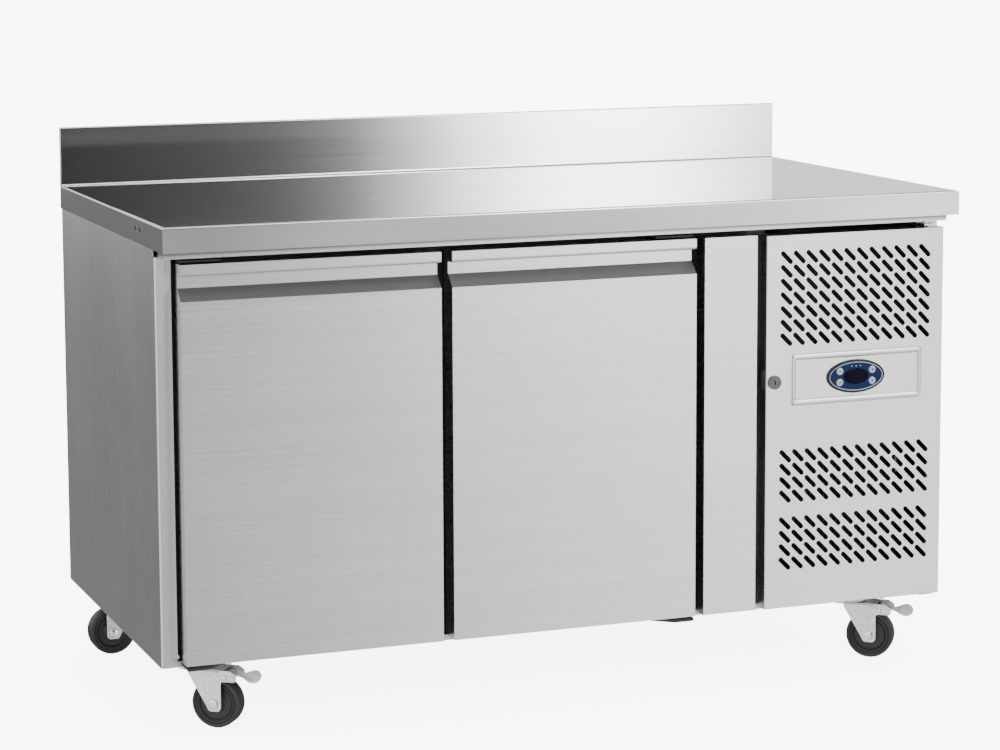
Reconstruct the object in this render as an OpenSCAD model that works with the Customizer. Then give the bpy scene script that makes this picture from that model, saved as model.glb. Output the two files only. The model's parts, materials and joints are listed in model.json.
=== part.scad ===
// Undercounter refrigerator: worktop with upstand, two solid doors, machine compartment, casters.
// X to the right, Y to the back (doors face -Y), Z up, millimetres, origin on the floor under the middle.

/* [Body] */
// Overall width, measured across the worktop
body_w = 1360; // [1340:10:1400]
// Overall depth, worktop front to upstand back
body_d = 700; // [690:5:720]
// Height of the worktop above the floor
worktop_h = 805; // [795:5:825]
// Height of the upstand above the worktop
upstand_h = 100; // [60:10:140]
// Thickness of the upstand
upstand_t = 12; // [10:1:16]
// Height of the worktop apron
apron_h = 40; // [36:1:44]

/* [Doors] */
// Depth of the finger recess under the handle lip
handle_d = 20; // [14:1:22]
// Height of the handle lip above the recess
handle_lip = 18; // [16:1:20]

/* [Machine compartment] */
// Width of the louvred machine panel
machine_w = 327; // [320:1:340]
// Width of one louvre slot
slot_w = 8; // [4:0.5:10]
// Length of one louvre slot
slot_l = 28; // [18:1:29]

/* [Casters] */
// Diameter of the caster wheels
wheel_d = 80; // [76:1:80]
// Width of the caster wheels
wheel_w = 30; // [24:1:31]

/* [Hidden] */
$fn = 64;
fit = 0.2;
run = 0.05;
sheet = 1;
top_sheet = 1.2;
over = 5;
pin_r = 4;
steel = [0.76, 0.77, 0.78];
dark_steel = [0.52, 0.53, 0.55];
zinc = [0.66, 0.68, 0.70];
black = [0.07, 0.07, 0.08];
foam = [0.93, 0.86, 0.62];
copper = [0.75, 0.42, 0.27];
alu = [0.82, 0.84, 0.86];
navy = [0.09, 0.15, 0.33];
// Outer limits
xl = -body_w / 2;
xr = body_w / 2;
yf = -body_d / 2;
yb = body_d / 2;
base_z = 110;
lip_h = 12;
apron_z = worktop_h - apron_h;
body_z = apron_z - lip_h;
side_inset = 2;
sxl = xl + side_inset;
sxr = xr - side_inset;
rear_y = yb - 10;
// Front layout from left to right
left_margin = 33;
right_margin = 14;
door_gap = 18;
filler_gap = 15;
filler_w = 94;
panel_gap = 17;
fixed_w = left_margin + door_gap + filler_gap + filler_w + panel_gap + machine_w + right_margin;
door_w = (body_w - fixed_w) / 2;
ld0 = xl + left_margin;
ld1 = ld0 + door_w;
rd0 = ld1 + door_gap;
rd1 = rd0 + door_w;
fp0 = rd1 + filler_gap;
fp1 = fp0 + filler_w;
mp0 = fp1 + panel_gap;
mp1 = mp0 + machine_w;
// Door planes and heights
door_t = 38;
dy0 = yf + 25;
dy1 = dy0 + door_t;
frame_y = dy1 + 10;
dz0 = base_z + 10;
dz1 = body_z - 9;
liner_back = dy1 + sheet;
hinge_in = 18;
hinge_y = dy0 + door_t / 2;
bush_l = 14;
// Cold compartment
part_x = mp0 - 14;
cx0 = xl + 68;
cx1 = part_x - 42;
col_x = rd1 - 36;
cy0 = frame_y + 3;
cy1 = yb - 50;
cz0 = base_z + 50;
cz1 = body_z - 47;
col_y = cy0 + 44;
mull_x = (ld1 + rd0) / 2;
mull_h = 45;
// Shelf bays between the uprights
bays = [[cx0, mull_x - mull_h], [mull_x + mull_h, col_x + 8]];
upright_w = 20;
upright_t = 8;
runner_z = 424;
runner_t = 1.6;
line_y = 200;
line_z = 640;
line_r = 22;
gland_x = 600;
gland_z = 200;
// Machine panel
mz0 = base_z + 9;
mz1 = body_z - 10.5;
pan_d = 30;
pivot_x = mp1 - 17;
pivot_r = 3;
lock_x = mp0 + 15.2;
lock_z = 499.6;
lock_r = 7;
// Louvres
slot_cols = 12;
slot_dx = 23.2;
slot_dz = 22.6;
slot_x0 = mp0 + 36.4;
slot_fields = [[569.4, 7], [307, 4], [194, 4]];
slot_rows = [for (f = slot_fields) for (i = [0:f[1] - 1]) f[0] + i * slot_dz];
// Controller
ctl_x = mp0 + 164.3;
ctl_z = 501.2;
ctl_rx = 53.5;
ctl_rz = 28;
face_rx = 46.8;
face_rz = 23;
button_r = 6.15;
button_dx = 30;
button_up = 9.6;
button_dn = -9;
// Fans
cfan_x = 500;
cfan_z = 270;
cfan_y = -165;
cfan_r = 105;
efan_y = 60;
efan_z = 510;
efan_x = 200;
efan_r = 76;
shaft_r = 4;
// Evaporator cover
cover_x = col_x + 9;
cover_half = 210;
cover_z0 = 335;
cover_z1 = 692;
// Compressor shell
comp_x = 505;
comp_y = 190;
comp_z = base_z + 21.6;
comp_r = 84;
comp_h = 175;
suction_z = 240;
// Casters: swivel centres and yaw of the trail
caster_x = [-602, 553, -602, 553];
caster_y = [yf + 115, yf + 115, yb - 109, yb - 105];
caster_yaw = [-38, -38, 180, 180];
trail = 30;
axle_z = wheel_d / 2;
axle_r = 5;
king_r = 6;
fork_top = 96;
fork_t = 2.5;
fork_in = 17.5;
brake_u = 48;
brake_z = 84;
brake_pin = 3;

// ---- Shared shapes ----

module box(x0, x1, y0, y1, z0, z1) {
    translate([x0, y0, z0])
        cube([x1 - x0, y1 - y0, z1 - z0]);
}

module xcyl(y, z, r, x0, x1) {
    translate([x0, y, z])
        rotate([0, 90, 0])
            cylinder(r = r, h = x1 - x0);
}

module ycyl(x, z, r, y0, y1) {
    translate([x, y1, z])
        rotate([90, 0, 0])
            cylinder(r = r, h = y1 - y0);
}

module zcyl(x, y, r, z0, z1) {
    translate([x, y, z0])
        cylinder(r = r, h = z1 - z0);
}

// Extrudes a (y, z) outline along X
module xprism(x0, x1) {
    translate([x0, 0, 0])
        rotate([90, 0, 90])
            linear_extrude(x1 - x0)
                children();
}

// Extrudes an (x, z) outline along Y
module yprism(y0, y1) {
    translate([0, y1, 0])
        rotate([90, 0, 0])
            linear_extrude(y1 - y0)
                children();
}

// Outline with its two upper corners rounded
module arch(a0, a1, z0, z1, r) {
    translate([a0, z0])
        square([a1 - a0, z1 - r - z0]);
    translate([a0 + r, z0])
        square([a1 - a0 - 2 * r, z1 - z0]);
    for (a = [a0 + r, a1 - r])
        translate([a, z1 - r])
            circle(r = r);
}

// Outline with all corners rounded
module rounded(a0, a1, z0, z1, r) {
    translate([a0 + r, z0])
        square([a1 - a0 - 2 * r, z1 - z0]);
    translate([a0, z0 + r])
        square([a1 - a0, z1 - z0 - 2 * r]);
    for (a = [a0 + r, a1 - r], z = [z0 + r, z1 - r])
        translate([a, z])
            circle(r = r);
}

module oval(rx, rz) {
    steps = 72;
    polygon([for (i = [0:steps - 1]) [rx * cos(i * 360 / steps), rz * sin(i * 360 / steps)]]);
}

// Round tube through a list of points, with ball elbows a little wider than the tube
module pipe(pts, r, swell) {
    for (i = [0:len(pts) - 2]) {
        d = pts[i + 1] - pts[i];
        l = norm(d);
        translate(pts[i])
            rotate([0, acos(d[2] / l), atan2(d[1], d[0])])
                cylinder(r = r, h = l);
        translate(pts[i + 1])
            sphere(r = r * swell);
    }
}

// ---- Worktop ----

module top_block(g, z0) {
    bend = 3;
    intersection() {
        xprism(xl + g, xr - g)
            arch(yf + g, yb - g, z0, worktop_h - g, bend - g);
        yprism(yf + g, yb - g)
            arch(xl + g, xr - g, z0, worktop_h - g, bend - g);
    }
}

module end_screw_places() {
    down = 18;
    apart = 4;
    for (y = [yf + 127, yf + 160], z = [-apart, apart])
        translate([xl, y, worktop_h - down + z])
            rotate([0, 90, 0])
                children();
}

module worktop() {
    return_w = 15;
    hole_r = 2.7;
    rebate = 3;
    color(steel)
        difference() {
            top_block(0, apron_z);
            top_block(top_sheet, apron_z + top_sheet);
            box(xl + return_w, xr - return_w, yf + return_w, yb - return_w, apron_z - over, apron_z + over);
            box(xl - over, xr + over, yb - upstand_t - fit, yb + over, worktop_h - rebate, worktop_h + over);
            end_screw_places()
                cylinder(r = hole_r, h = over);
        }
}

module worktop_core() {
    inset = 4;
    board_t = 24;
    z1 = worktop_h - top_sheet - fit;
    color([0.62, 0.50, 0.36])
        box(xl + inset, xr - inset, yf + inset, yb - upstand_t - 2 * fit, z1 - board_t, z1);
}

module upstand() {
    bend = 2;
    rebate = 3 - fit;
    y0 = yb - upstand_t;
    z0 = worktop_h - rebate;
    z1 = worktop_h + upstand_h;
    color(steel)
        difference() {
            xprism(xl, xr)
                arch(y0, yb, z0, z1, bend);
            xprism(xl + top_sheet, xr - top_sheet)
                arch(y0 + top_sheet, yb - top_sheet, z0 - over, z1 - top_sheet, bend - top_sheet);
        }
}

// ---- Cabinet panels ----

module subtop_panel() {
    end_in = 7;
    front_in = 28;
    lip = 22;
    x0 = xl + end_in;
    x1 = xr - end_in;
    y0 = yf + front_in;
    y1 = rear_y - fit;
    z1 = apron_z - fit;
    color(steel)
        difference() {
            box(x0, x1, y0, y1, body_z, z1);
            box(x0 + sheet, x1 - sheet, y0 + sheet, y1 - sheet, body_z + sheet, z1 - sheet);
            box(x0 + lip, x1 - lip, y0 + lip, y1 - lip, body_z - over, body_z + over);
        }
}

// Outline (x, y) of a side sheet with a rounded front bend and a rear return
module side_outline(x_out, sgn, y_front, front_w) {
    bend = 4;
    back_w = 16;
    inner = x_out + sgn * bend;
    translate([min(x_out, x_out + sgn * sheet), y_front + bend])
        square([sheet, yb - y_front - bend]);
    translate([min(inner, x_out + sgn * front_w), y_front])
        square([front_w - bend, sheet]);
    translate([min(x_out, x_out + sgn * back_w), yb - sheet])
        square([back_w, sheet]);
    intersection() {
        translate([inner, y_front + bend])
            difference() {
                circle(r = bend);
                circle(r = bend - sheet);
            }
        translate([min(x_out, inner), y_front])
            square([bend, bend]);
    }
}

module side_panel(x_out, sgn, y_front, front_w) {
    color(steel)
        difference() {
            translate([0, 0, base_z])
                linear_extrude(apron_z - fit - base_z)
                    side_outline(x_out, sgn, y_front, front_w);
            box(x_out - 2 * front_w, x_out + 2 * front_w, y_front - over, y_front + over + sheet,
                body_z - fit, apron_z + over);
        }
}

module left_side_panel() {
    side_panel(sxl, 1, dy1, 26);
}

module right_side_panel() {
    side_panel(sxr, -1, dy1 + 4, 13);
}

module rear_panel() {
    rows = 9;
    row_dz = 26;
    vent_h = 7;
    vent_l = 120;
    vent_z = mz0 + 336;
    vent_r = 3;
    hole_r = 12;
    color(dark_steel)
        difference() {
            box(sxl + sheet + fit, sxr - sheet - fit, rear_y, rear_y + sheet,
                base_z + sheet + fit, body_z - fit);
            for (i = [0:rows - 1], x = [mp0 + 30, mp0 + 180])
                yprism(rear_y - over, rear_y + over)
                    rounded(x, x + vent_l, vent_z + i * row_dz, vent_z + vent_h + i * row_dz, vent_r);
            ycyl(gland_x, gland_z, hole_r, rear_y - over, rear_y + over);
        }
}

module base_panel() {
    x1 = sxr - sheet - fit;
    flange_y = dy1 + 3;
    flange_h = 9;
    corner_x = sxr - 14;
    corner_y = dy1 + 8 + fit;
    vents = 10;
    vent_w = 12;
    vent_dx = 25;
    vent_x = mp0 + 40;
    color(dark_steel) {
        difference() {
            box(sxl + sheet + fit, x1, flange_y, rear_y + sheet, base_z, base_z + sheet);
            box(corner_x, x1 + over, flange_y - over, corner_y, base_z - over, base_z + over);
            for (i = [0:vents - 1])
                box(vent_x + i * vent_dx, vent_x + vent_w + i * vent_dx, yf + 95, yf + 155,
                    base_z - over, base_z + over);
        }
        box(sxl + 27, corner_x, flange_y, flange_y + sheet, base_z, base_z + flange_h);
    }
}

module insulation() {
    x0 = sxl + sheet + fit;
    x1 = part_x - fit;
    y1 = rear_y - fit;
    z0 = base_z + sheet + fit;
    z1 = body_z - fit;
    g = sheet + fit;
    color(foam)
        difference() {
            union() {
                box(x0, x1, cy0, y1, z0, cz0 - g);
                box(x0, x1, cy0, y1, cz1 + g, z1);
                box(x0, cx0 - g, cy0, y1, z0, z1);
                box(cx1 + g, x1, cy0, y1, z0, z1);
                box(x0, x1, cy1 + g, y1, z0, z1);
                box(col_x + g, x1, cy0, col_y - fit, z0, z1);
            }
            xcyl(line_y, line_z, line_r, cx1 - over, part_x + over);
        }
}

module cavity(g) {
    box(cx0 - g, col_x + g, cy0 - (g > 0 ? 0 : over), cy1 + g, cz0 - g, cz1 + g);
    box(col_x - g - over, cx1 + g, col_y + sheet - g, cy1 + g, cz0 - g, cz1 + g);
}

module inner_liner() {
    color(steel)
        difference() {
            cavity(sheet);
            cavity(0);
            xcyl(line_y, line_z, line_r, cx1 - over, part_x + over);
        }
}

module door_frame() {
    edge = 1;
    color(black)
        difference() {
            box(sxl + sheet + fit, part_x - fit, frame_y, cy0 - fit, base_z + sheet + 2 * fit, body_z - fit);
            box(cx0 + edge, col_x, frame_y - over, cy0 + over, cz0, cz1);
        }
}

module centre_mullion() {
    strip_w = 15;
    strip_t = 2;
    color(dark_steel) {
        box(mull_x - mull_h, mull_x + mull_h, frame_y, col_y, cz0 + fit, cz1 - fit);
        box(mull_x - strip_w, mull_x + strip_w, frame_y - strip_t, frame_y, cz0 + fit, cz1 - fit);
    }
}

module filler_panel() {
    strike_z = 15;
    strike_y = dy0 + 29;
    strike_w = 10;
    color(steel) {
        difference() {
            box(fp0, fp1, dy0, frame_y - fit, dz0, dz1);
            box(fp0 + sheet, fp1 - sheet, dy0 + sheet, frame_y + over, dz0 + sheet, dz1 - sheet);
        }
        box(fp1, fp1 + strike_w, strike_y, strike_y + sheet, lock_z - strike_z, lock_z + strike_z);
    }
}

module machine_partition() {
    front_w = 34;
    z0 = base_z + sheet + fit;
    z1 = body_z - fit;
    color(dark_steel)
        difference() {
            union() {
                box(part_x, part_x + sheet, frame_y, rear_y - fit, z0, z1);
                box(part_x, part_x + front_w, frame_y, frame_y + sheet, z0, z1);
            }
            xcyl(line_y, line_z, line_r, part_x - over, part_x + over);
        }
}

// ---- Cooling system ----

module unit_tray() {
    x0 = part_x + 15;
    x1 = sxr - 14;
    y0 = yf + 90;
    y1 = rear_y - 10;
    z0 = base_z + sheet + fit;
    rim = 15;
    color(zinc)
        difference() {
            box(x0, x1, y0, y1, z0, z0 + rim);
            box(x0 + sheet, x1 - sheet, y0 + sheet, y1 - sheet, z0 + sheet, z0 + rim + over);
        }
}

// Solid of revolution with rounded ends, standing on its origin
module rounded_can(r, h, corner) {
    rotate_extrude() {
        square([r - corner, h]);
        translate([0, corner])
            square([r, h - 2 * corner]);
        for (z = [corner, h - corner])
            translate([r - corner, z])
                circle(r = corner);
    }
}

module compressor() {
    corner = 34;
    foot_h = 16;
    foot_r = 12;
    plate_t = 5;
    plate_half = 95;
    foot_in = 14;
    box_in = 12;
    box_out = 28;
    box_half = 30;
    stub_l = 16;
    stub_in = 12;
    color(black) {
        translate([comp_x, comp_y, comp_z])
            rounded_can(comp_r, comp_h, corner);
        box(comp_x - plate_half, comp_x + plate_half, comp_y - plate_half, comp_y + plate_half,
            comp_z - 3, comp_z - 3 + plate_t);
        for (sx = [-1, 1], sy = [-1, 1])
            zcyl(comp_x + sx * (plate_half - foot_in), comp_y + sy * (plate_half - foot_in), foot_r,
                comp_z - 3 - foot_h, comp_z - 3);
        box(comp_x + comp_r - box_in, comp_x + comp_r + box_out, comp_y - box_half, comp_y + box_half,
            comp_z + 40, comp_z + 110);
        zcyl(comp_x - 40, comp_y - 40, 7, comp_z + comp_h - stub_in, comp_z + comp_h + stub_l);
        xcyl(comp_y, suction_z, 9, comp_x - comp_r - 2, comp_x - comp_r + stub_in);
    }
}

// Finned heat exchanger with straight tubes
module fin_pack(x0, x1, y0, y1, z0, z1, n, tube_rows, along_x) {
    fin_t = 1.6;
    tube_r = 4.8;
    out = 8;
    dx = (x1 - x0 - fin_t) / (n - 1);
    dy = (y1 - y0 - fin_t) / (n - 1);
    dz = (z1 - z0) / tube_rows;
    for (i = [0:n - 1])
        if (along_x)
            box(x0 + i * dx, x0 + i * dx + fin_t, y0, y1, z0, z1);
        else
            box(x0, x1, y0 + i * dy, y0 + i * dy + fin_t, z0, z1);
    for (j = [0:tube_rows - 1])
        if (along_x)
            xcyl((y0 + y1) / 2, z0 + (j + 0.5) * dz, tube_r, x0 - out, x1 + out);
        else
            ycyl((x0 + x1) / 2, z0 + (j + 0.5) * dz, tube_r, y0 - out, y1 + out);
}

module condenser_coil() {
    half_w = 132;
    half_h = 122;
    coil_t = 44;
    y1 = cfan_y - 22;
    fins = 34;
    tubes = 7;
    color(alu)
        fin_pack(cfan_x - half_w, cfan_x + half_w, y1 - coil_t, y1, cfan_z - half_h, cfan_z + half_h,
            fins, tubes, true);
}

module condenser_shroud() {
    half = 138;
    y0 = cfan_y - 20;
    y1 = cfan_y + 22;
    lip_r = cfan_r + 5;
    z0 = base_z + 3 * fit + 2 * sheet;
    color(zinc)
        difference() {
            box(cfan_x - half, cfan_x + half, y0, y1, z0, cfan_z + half);
            box(cfan_x - half + sheet, cfan_x + half - sheet, y0 - over, y1 - sheet, z0 - over,
                cfan_z + half - sheet);
            ycyl(cfan_x, cfan_z, lip_r, y0 - over, y1 + over);
        }
}

module motor_arms(r_in, r_out, n, t) {
    arm_w = 12;
    for (i = [0:n - 1])
        rotate([0, 0, i * 360 / n + 45])
            translate([r_in, -arm_w / 2, 0])
                cube([r_out - r_in, arm_w, t]);
}

module fan_motors() {
    big_r = 36;
    big_l = 55;
    small_r = 28;
    small_l = 22;
    arm_t = 2.5;
    arm_in = 8;
    arms = 4;
    back_y = cfan_y + 22 + fit;
    back_x = efan_x + 12;
    post_x = efan_x - 12;
    post_w = 10;
    post_h = 7;
    color(black) {
        ycyl(cfan_x, cfan_z, big_r, back_y, back_y + big_l);
        ycyl(cfan_x, cfan_z, shaft_r, cfan_y - 9, back_y + 1);
        translate([cfan_x, back_y + arm_t, cfan_z])
            rotate([90, 0, 0])
                motor_arms(big_r - arm_in, cfan_r + 24, arms, arm_t - 0.1);
        xcyl(efan_y, efan_z, small_r, back_x, back_x + small_l);
        xcyl(efan_y, efan_z, shaft_r, efan_x - 8, back_x + 1);
        translate([back_x + 1, efan_y, efan_z])
            rotate([0, 90, 0])
                motor_arms(small_r - arm_in, efan_r + 12, arms, arm_t);
        for (i = [0:arms - 1])
            translate([post_x, efan_y, efan_z])
                rotate([45 + i * 90, 0, 0])
                    translate([0, efan_r + 4, -post_w / 2])
                        cube([back_x + 2 - post_x, post_h, post_w]);
    }
}

module fan_blades(hub_r, tip_r, hub_l, n) {
    tilt = 27;
    chord = 0.52 * tip_r;
    blade_t = 1.4;
    difference() {
        union() {
            translate([0, 0, -hub_l / 2])
                cylinder(r = hub_r, h = hub_l);
            intersection() {
                for (i = [0:n - 1])
                    rotate([0, 0, i * 360 / n])
                        rotate([tilt, 0, 0])
                            translate([hub_r / 2, -chord / 2, -blade_t / 2])
                                cube([tip_r, chord, blade_t]);
                translate([0, 0, -tip_r])
                    cylinder(r = tip_r, h = 2 * tip_r);
            }
        }
        translate([0, 0, -tip_r])
            cylinder(r = shaft_r + run, h = 2 * tip_r);
    }
}

module condenser_fan() {
    color(dark_steel)
        translate([cfan_x, cfan_y, cfan_z])
            rotate([90, 0, 0])
                fan_blades(22, cfan_r, 18, 5);
}

module evaporator_fan() {
    color(black)
        translate([efan_x, efan_y, efan_z])
            rotate([0, 90, 0])
                fan_blades(16, efan_r, 14, 7);
}

module evaporator_coil() {
    x0 = efan_x + 42;
    x1 = cx1 - 3;
    half_w = 190;
    fins = 34;
    tubes = 7;
    color(alu)
        fin_pack(x0, x1, efan_y - half_w, efan_y + half_w, cover_z0 + 25, cover_z1 - 22, fins, tubes, false);
}

module evaporator_cover() {
    x1 = cx1 - fit;
    y0 = efan_y - cover_half;
    y1 = efan_y + cover_half;
    hole_r = efan_r + 5;
    slit_half = 150;
    slit_h = 7;
    slit_dz = 16;
    color(steel)
        difference() {
            box(cover_x, x1, y0, y1, cover_z0, cover_z1);
            box(cover_x + sheet, x1 + over, y0 + sheet, y1 - sheet, cover_z0 + sheet, cover_z1 - sheet);
            xcyl(efan_y, efan_z, hole_r, cover_x - over, cover_x + over);
            for (z = [cover_z0 + 15, cover_z1 - 52], i = [0:2])
                box(cover_x - over, cover_x + over, efan_y - slit_half, efan_y + slit_half,
                    z + i * slit_dz, z + i * slit_dz + slit_h);
        }
}

module drip_tray() {
    x1 = cx1 - fit;
    z0 = cover_z0 - 15;
    rim = 13;
    drain_r = 9;
    drain_l = 24;
    color(alu) {
        difference() {
            box(cover_x, x1, efan_y - cover_half, efan_y + cover_half, z0, z0 + rim);
            box(cover_x + sheet, x1 - sheet, efan_y - cover_half + sheet, efan_y + cover_half - sheet,
                z0 + sheet, z0 + rim + over);
        }
        zcyl(cx1 - 30, efan_y + cover_half - 30, drain_r, z0 - drain_l, z0 + fit);
    }
}

module refrigerant_pipes() {
    hot_r = 4;
    cold_r = 6;
    swell = 1.15;
    dryer_r = 14;
    dryer_x = 385;
    dryer_y = 60;
    wall_x = cx1 - 1.5;
    out_x = comp_x - 40;
    out_y = comp_y - 40;
    hot_z = 420;
    side_x = 645.2;
    cold_x = 400;
    coil_y = cfan_y - 44;
    coil_x = 354.8;
    hot = [[out_x, out_y, 325], [out_x, out_y, hot_z], [out_x, 20, hot_z], [side_x, 20, hot_z],
        [side_x, -150, hot_z], [side_x, coil_y, 340], [side_x, coil_y, 310]];
    cold = [[wall_x, line_y + 8, line_z], [cold_x, line_y + 8, line_z], [cold_x, line_y + 60, line_z],
        [cold_x, line_y + 60, suction_z], [cold_x, comp_y, suction_z], [cold_x + 11, comp_y, suction_z]];
    liquid = [[wall_x, line_y - 10, line_z], [dryer_x, line_y - 10, line_z], [dryer_x, dryer_y, line_z],
        [dryer_x, dryer_y, 300], [coil_x, dryer_y, 300], [coil_x, coil_y, 300], [coil_x, coil_y, 180]];
    color(copper) {
        pipe(hot, hot_r, swell);
        pipe(cold, cold_r, swell);
        pipe(liquid, hot_r, swell);
        zcyl(dryer_x, dryer_y, dryer_r, 480, 580);
    }
    color(black)
        xcyl(line_y, line_z, line_r - fit, cx1 + sheet, part_x + 4);
}

module electrical_box() {
    x0 = part_x + sheet + fit;
    y0 = yf + 190;
    y1 = yf + 350;
    z0 = 560;
    z1 = 700;
    depth = 46;
    lid_t = 2;
    lid_out = 4;
    boss_r = 9;
    boss_l = 12;
    color([0.80, 0.80, 0.78]) {
        box(x0, x0 + depth, y0, y1, z0, z1);
        box(x0 + depth, x0 + depth + lid_t, y0 - lid_out, y1 + lid_out, z0 - lid_out, z1 + lid_out);
        for (y = [y0 + 25, y0 + 60, y0 + 95])
            zcyl(x0 + depth / 2, y, boss_r, z0 - boss_l, z0);
    }
}

// ---- Inside fittings ----

module shelf_supports() {
    foot = 0.5;
    slots = 21;
    slot_pitch = 25;
    slot_h = 8;
    slot_in = 6;
    first_slot = cz0 + 22;
    rear_post = cy1 - 60;
    front_post = cy0 + 60;
    y1 = rear_post + upright_w;
    leg = 14;
    color(steel)
        for (b = bays) {
            x0 = b[0] + foot;
            x1 = b[1];
            for (x = [x0, x1 - upright_t], y = [front_post, rear_post])
                difference() {
                    box(x, x + upright_t, y, y + upright_w, cz0 + foot, cz1 - foot);
                    for (i = [0:slots - 1])
                        box(x - over, x + upright_t + over, y + slot_in, y + upright_w - slot_in,
                            first_slot + i * slot_pitch, first_slot + slot_h + i * slot_pitch);
                }
            in0 = x0 + upright_t;
            in1 = x1 - upright_t;
            box(in0, in0 + leg, front_post, y1, runner_z, runner_z + runner_t);
            box(in0, in0 + runner_t, front_post, y1, runner_z - leg, runner_z + runner_t);
            box(in1 - leg, in1, front_post, y1, runner_z, runner_z + runner_t);
            box(in1 - runner_t, in1, front_post, y1, runner_z - leg, runner_z + runner_t);
        }
}

module wire_shelves() {
    wire_r = 3;
    bar_r = 2.5;
    thin_r = 1.6;
    wires = 14;
    swell = 1.15;
    shelf_d = 500;
    side_gap = 12.2;
    z = runner_z + runner_t + swell * wire_r + 0.1;
    y0 = cy0 + 50;
    y1 = y0 + shelf_d;
    color([0.80, 0.82, 0.84])
        for (b = bays) {
            x0 = b[0] + side_gap;
            x1 = b[1] - side_gap;
            pipe([[x0, y0, z], [x1, y0, z], [x1, y1, z], [x0, y1, z], [x0, y0, z]], wire_r, swell);
            for (i = [1:wires])
                translate([x0 + i * (x1 - x0) / (wires + 1), y0, z])
                    rotate([-90, 0, 0])
                        cylinder(r = thin_r, h = shelf_d);
            for (y = [y0 + 170, y0 + 330])
                xcyl(y, z, bar_r, x0, x1);
        }
}

// ---- Hinge brackets, casters, screws, gland ----

// Lower plate cut back at its free end, with the hinge at x and the free end towards sgn
module low_plate(x, sgn, y0, z0, t) {
    hinge_end = x - sgn * 16;
    straight = x + sgn * 18;
    free_end = x + sgn * 50;
    back = dy1 + 1;
    translate([0, 0, z0])
        linear_extrude(t)
            polygon([[hinge_end, y0], [straight, y0], [free_end, y0 + 26],
                [free_end, back], [hinge_end, back]]);
}

module door_hinge_brackets() {
    plate_t = 5.5;
    low_z = base_z + 2;
    up_z = dz1 + 2;
    up_t = 3;
    pin_l = 13;
    y0 = dy0 + 1;
    // [pin x, direction to the free end]
    sets = [[ld0 + hinge_in, 1], [rd1 - hinge_in, -1]];
    color(black)
        for (s = sets) {
            hinge_end = s[0] - s[1] * 16;
            free_end = s[0] + s[1] * 50;
            x0 = min(hinge_end, free_end);
            x1 = max(hinge_end, free_end);
            low_plate(s[0], s[1], y0, low_z, plate_t);
            box(x0, x1, dy1 - fit, dy1 + 3 - fit, base_z + 1, low_z + 8);
            zcyl(s[0], hinge_y, pin_r, low_z, low_z + plate_t + pin_l);
            box(x0, x1, y0 + 9, frame_y - fit, up_z, up_z + up_t);
            box(x0, x1, frame_y - up_t, frame_y - fit, up_z, body_z - fit);
            zcyl(s[0], hinge_y, pin_r, up_z - pin_l - 2, up_z + up_t);
        }
}

module panel_hinge_brackets() {
    plate_t = 3;
    half = 12;
    reach = 30;
    pin_l = 11;
    y0 = dy0 + 13;
    x0 = pivot_x - half;
    x1 = pivot_x + half;
    low_z = mz0 - 2 - plate_t;
    up_z = mz1 + 2;
    color(steel) {
        box(x0, x1, y0, dy1 + 3 - fit, low_z, low_z + plate_t);
        box(x0, x1, dy1, dy1 + 3 - fit, base_z + 1, low_z + plate_t);
        zcyl(pivot_x, hinge_y, pivot_r, low_z, mz0 + pin_l);
        box(x0, x1, y0, y0 + reach, up_z, up_z + plate_t);
        box(x0, x1, y0 + reach - plate_t, y0 + reach, up_z, body_z - fit);
        box(x0, x1, y0, y0 + reach, body_z - fit - plate_t, body_z - fit);
        zcyl(pivot_x, hinge_y, pivot_r, mz1 - pin_l, up_z + plate_t);
    }
}

module at_caster(i) {
    translate([caster_x[i], caster_y[i], 0])
        rotate([0, 0, caster_yaw[i]])
            children();
}

module caster_plates() {
    plate_x = 47;
    plate_y = 38;
    plate_t = 3;
    race_r = 24;
    nut_r = 9;
    nut_z = fork_top - 8.5;
    bolt_r = 6;
    bolt_h = 4;
    bolt_in = 9;
    plate_z = base_z - plate_t;
    color(zinc)
        for (i = [0:3])
            translate([caster_x[i], caster_y[i], 0]) {
                box(-plate_x, plate_x, -plate_y, plate_y, plate_z, base_z - 0.05);
                zcyl(0, 0, race_r, fork_top + 0.4, plate_z);
                zcyl(0, 0, king_r, nut_z + 0.5, fork_top + over);
                zcyl(0, 0, nut_r, nut_z, nut_z + 3.1);
                for (sx = [-1, 1], sy = [-1, 1])
                    zcyl(sx * (plate_x - bolt_in), sy * (plate_y - bolt_in), bolt_r,
                        plate_z - bolt_h, plate_z);
            }
}

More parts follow.
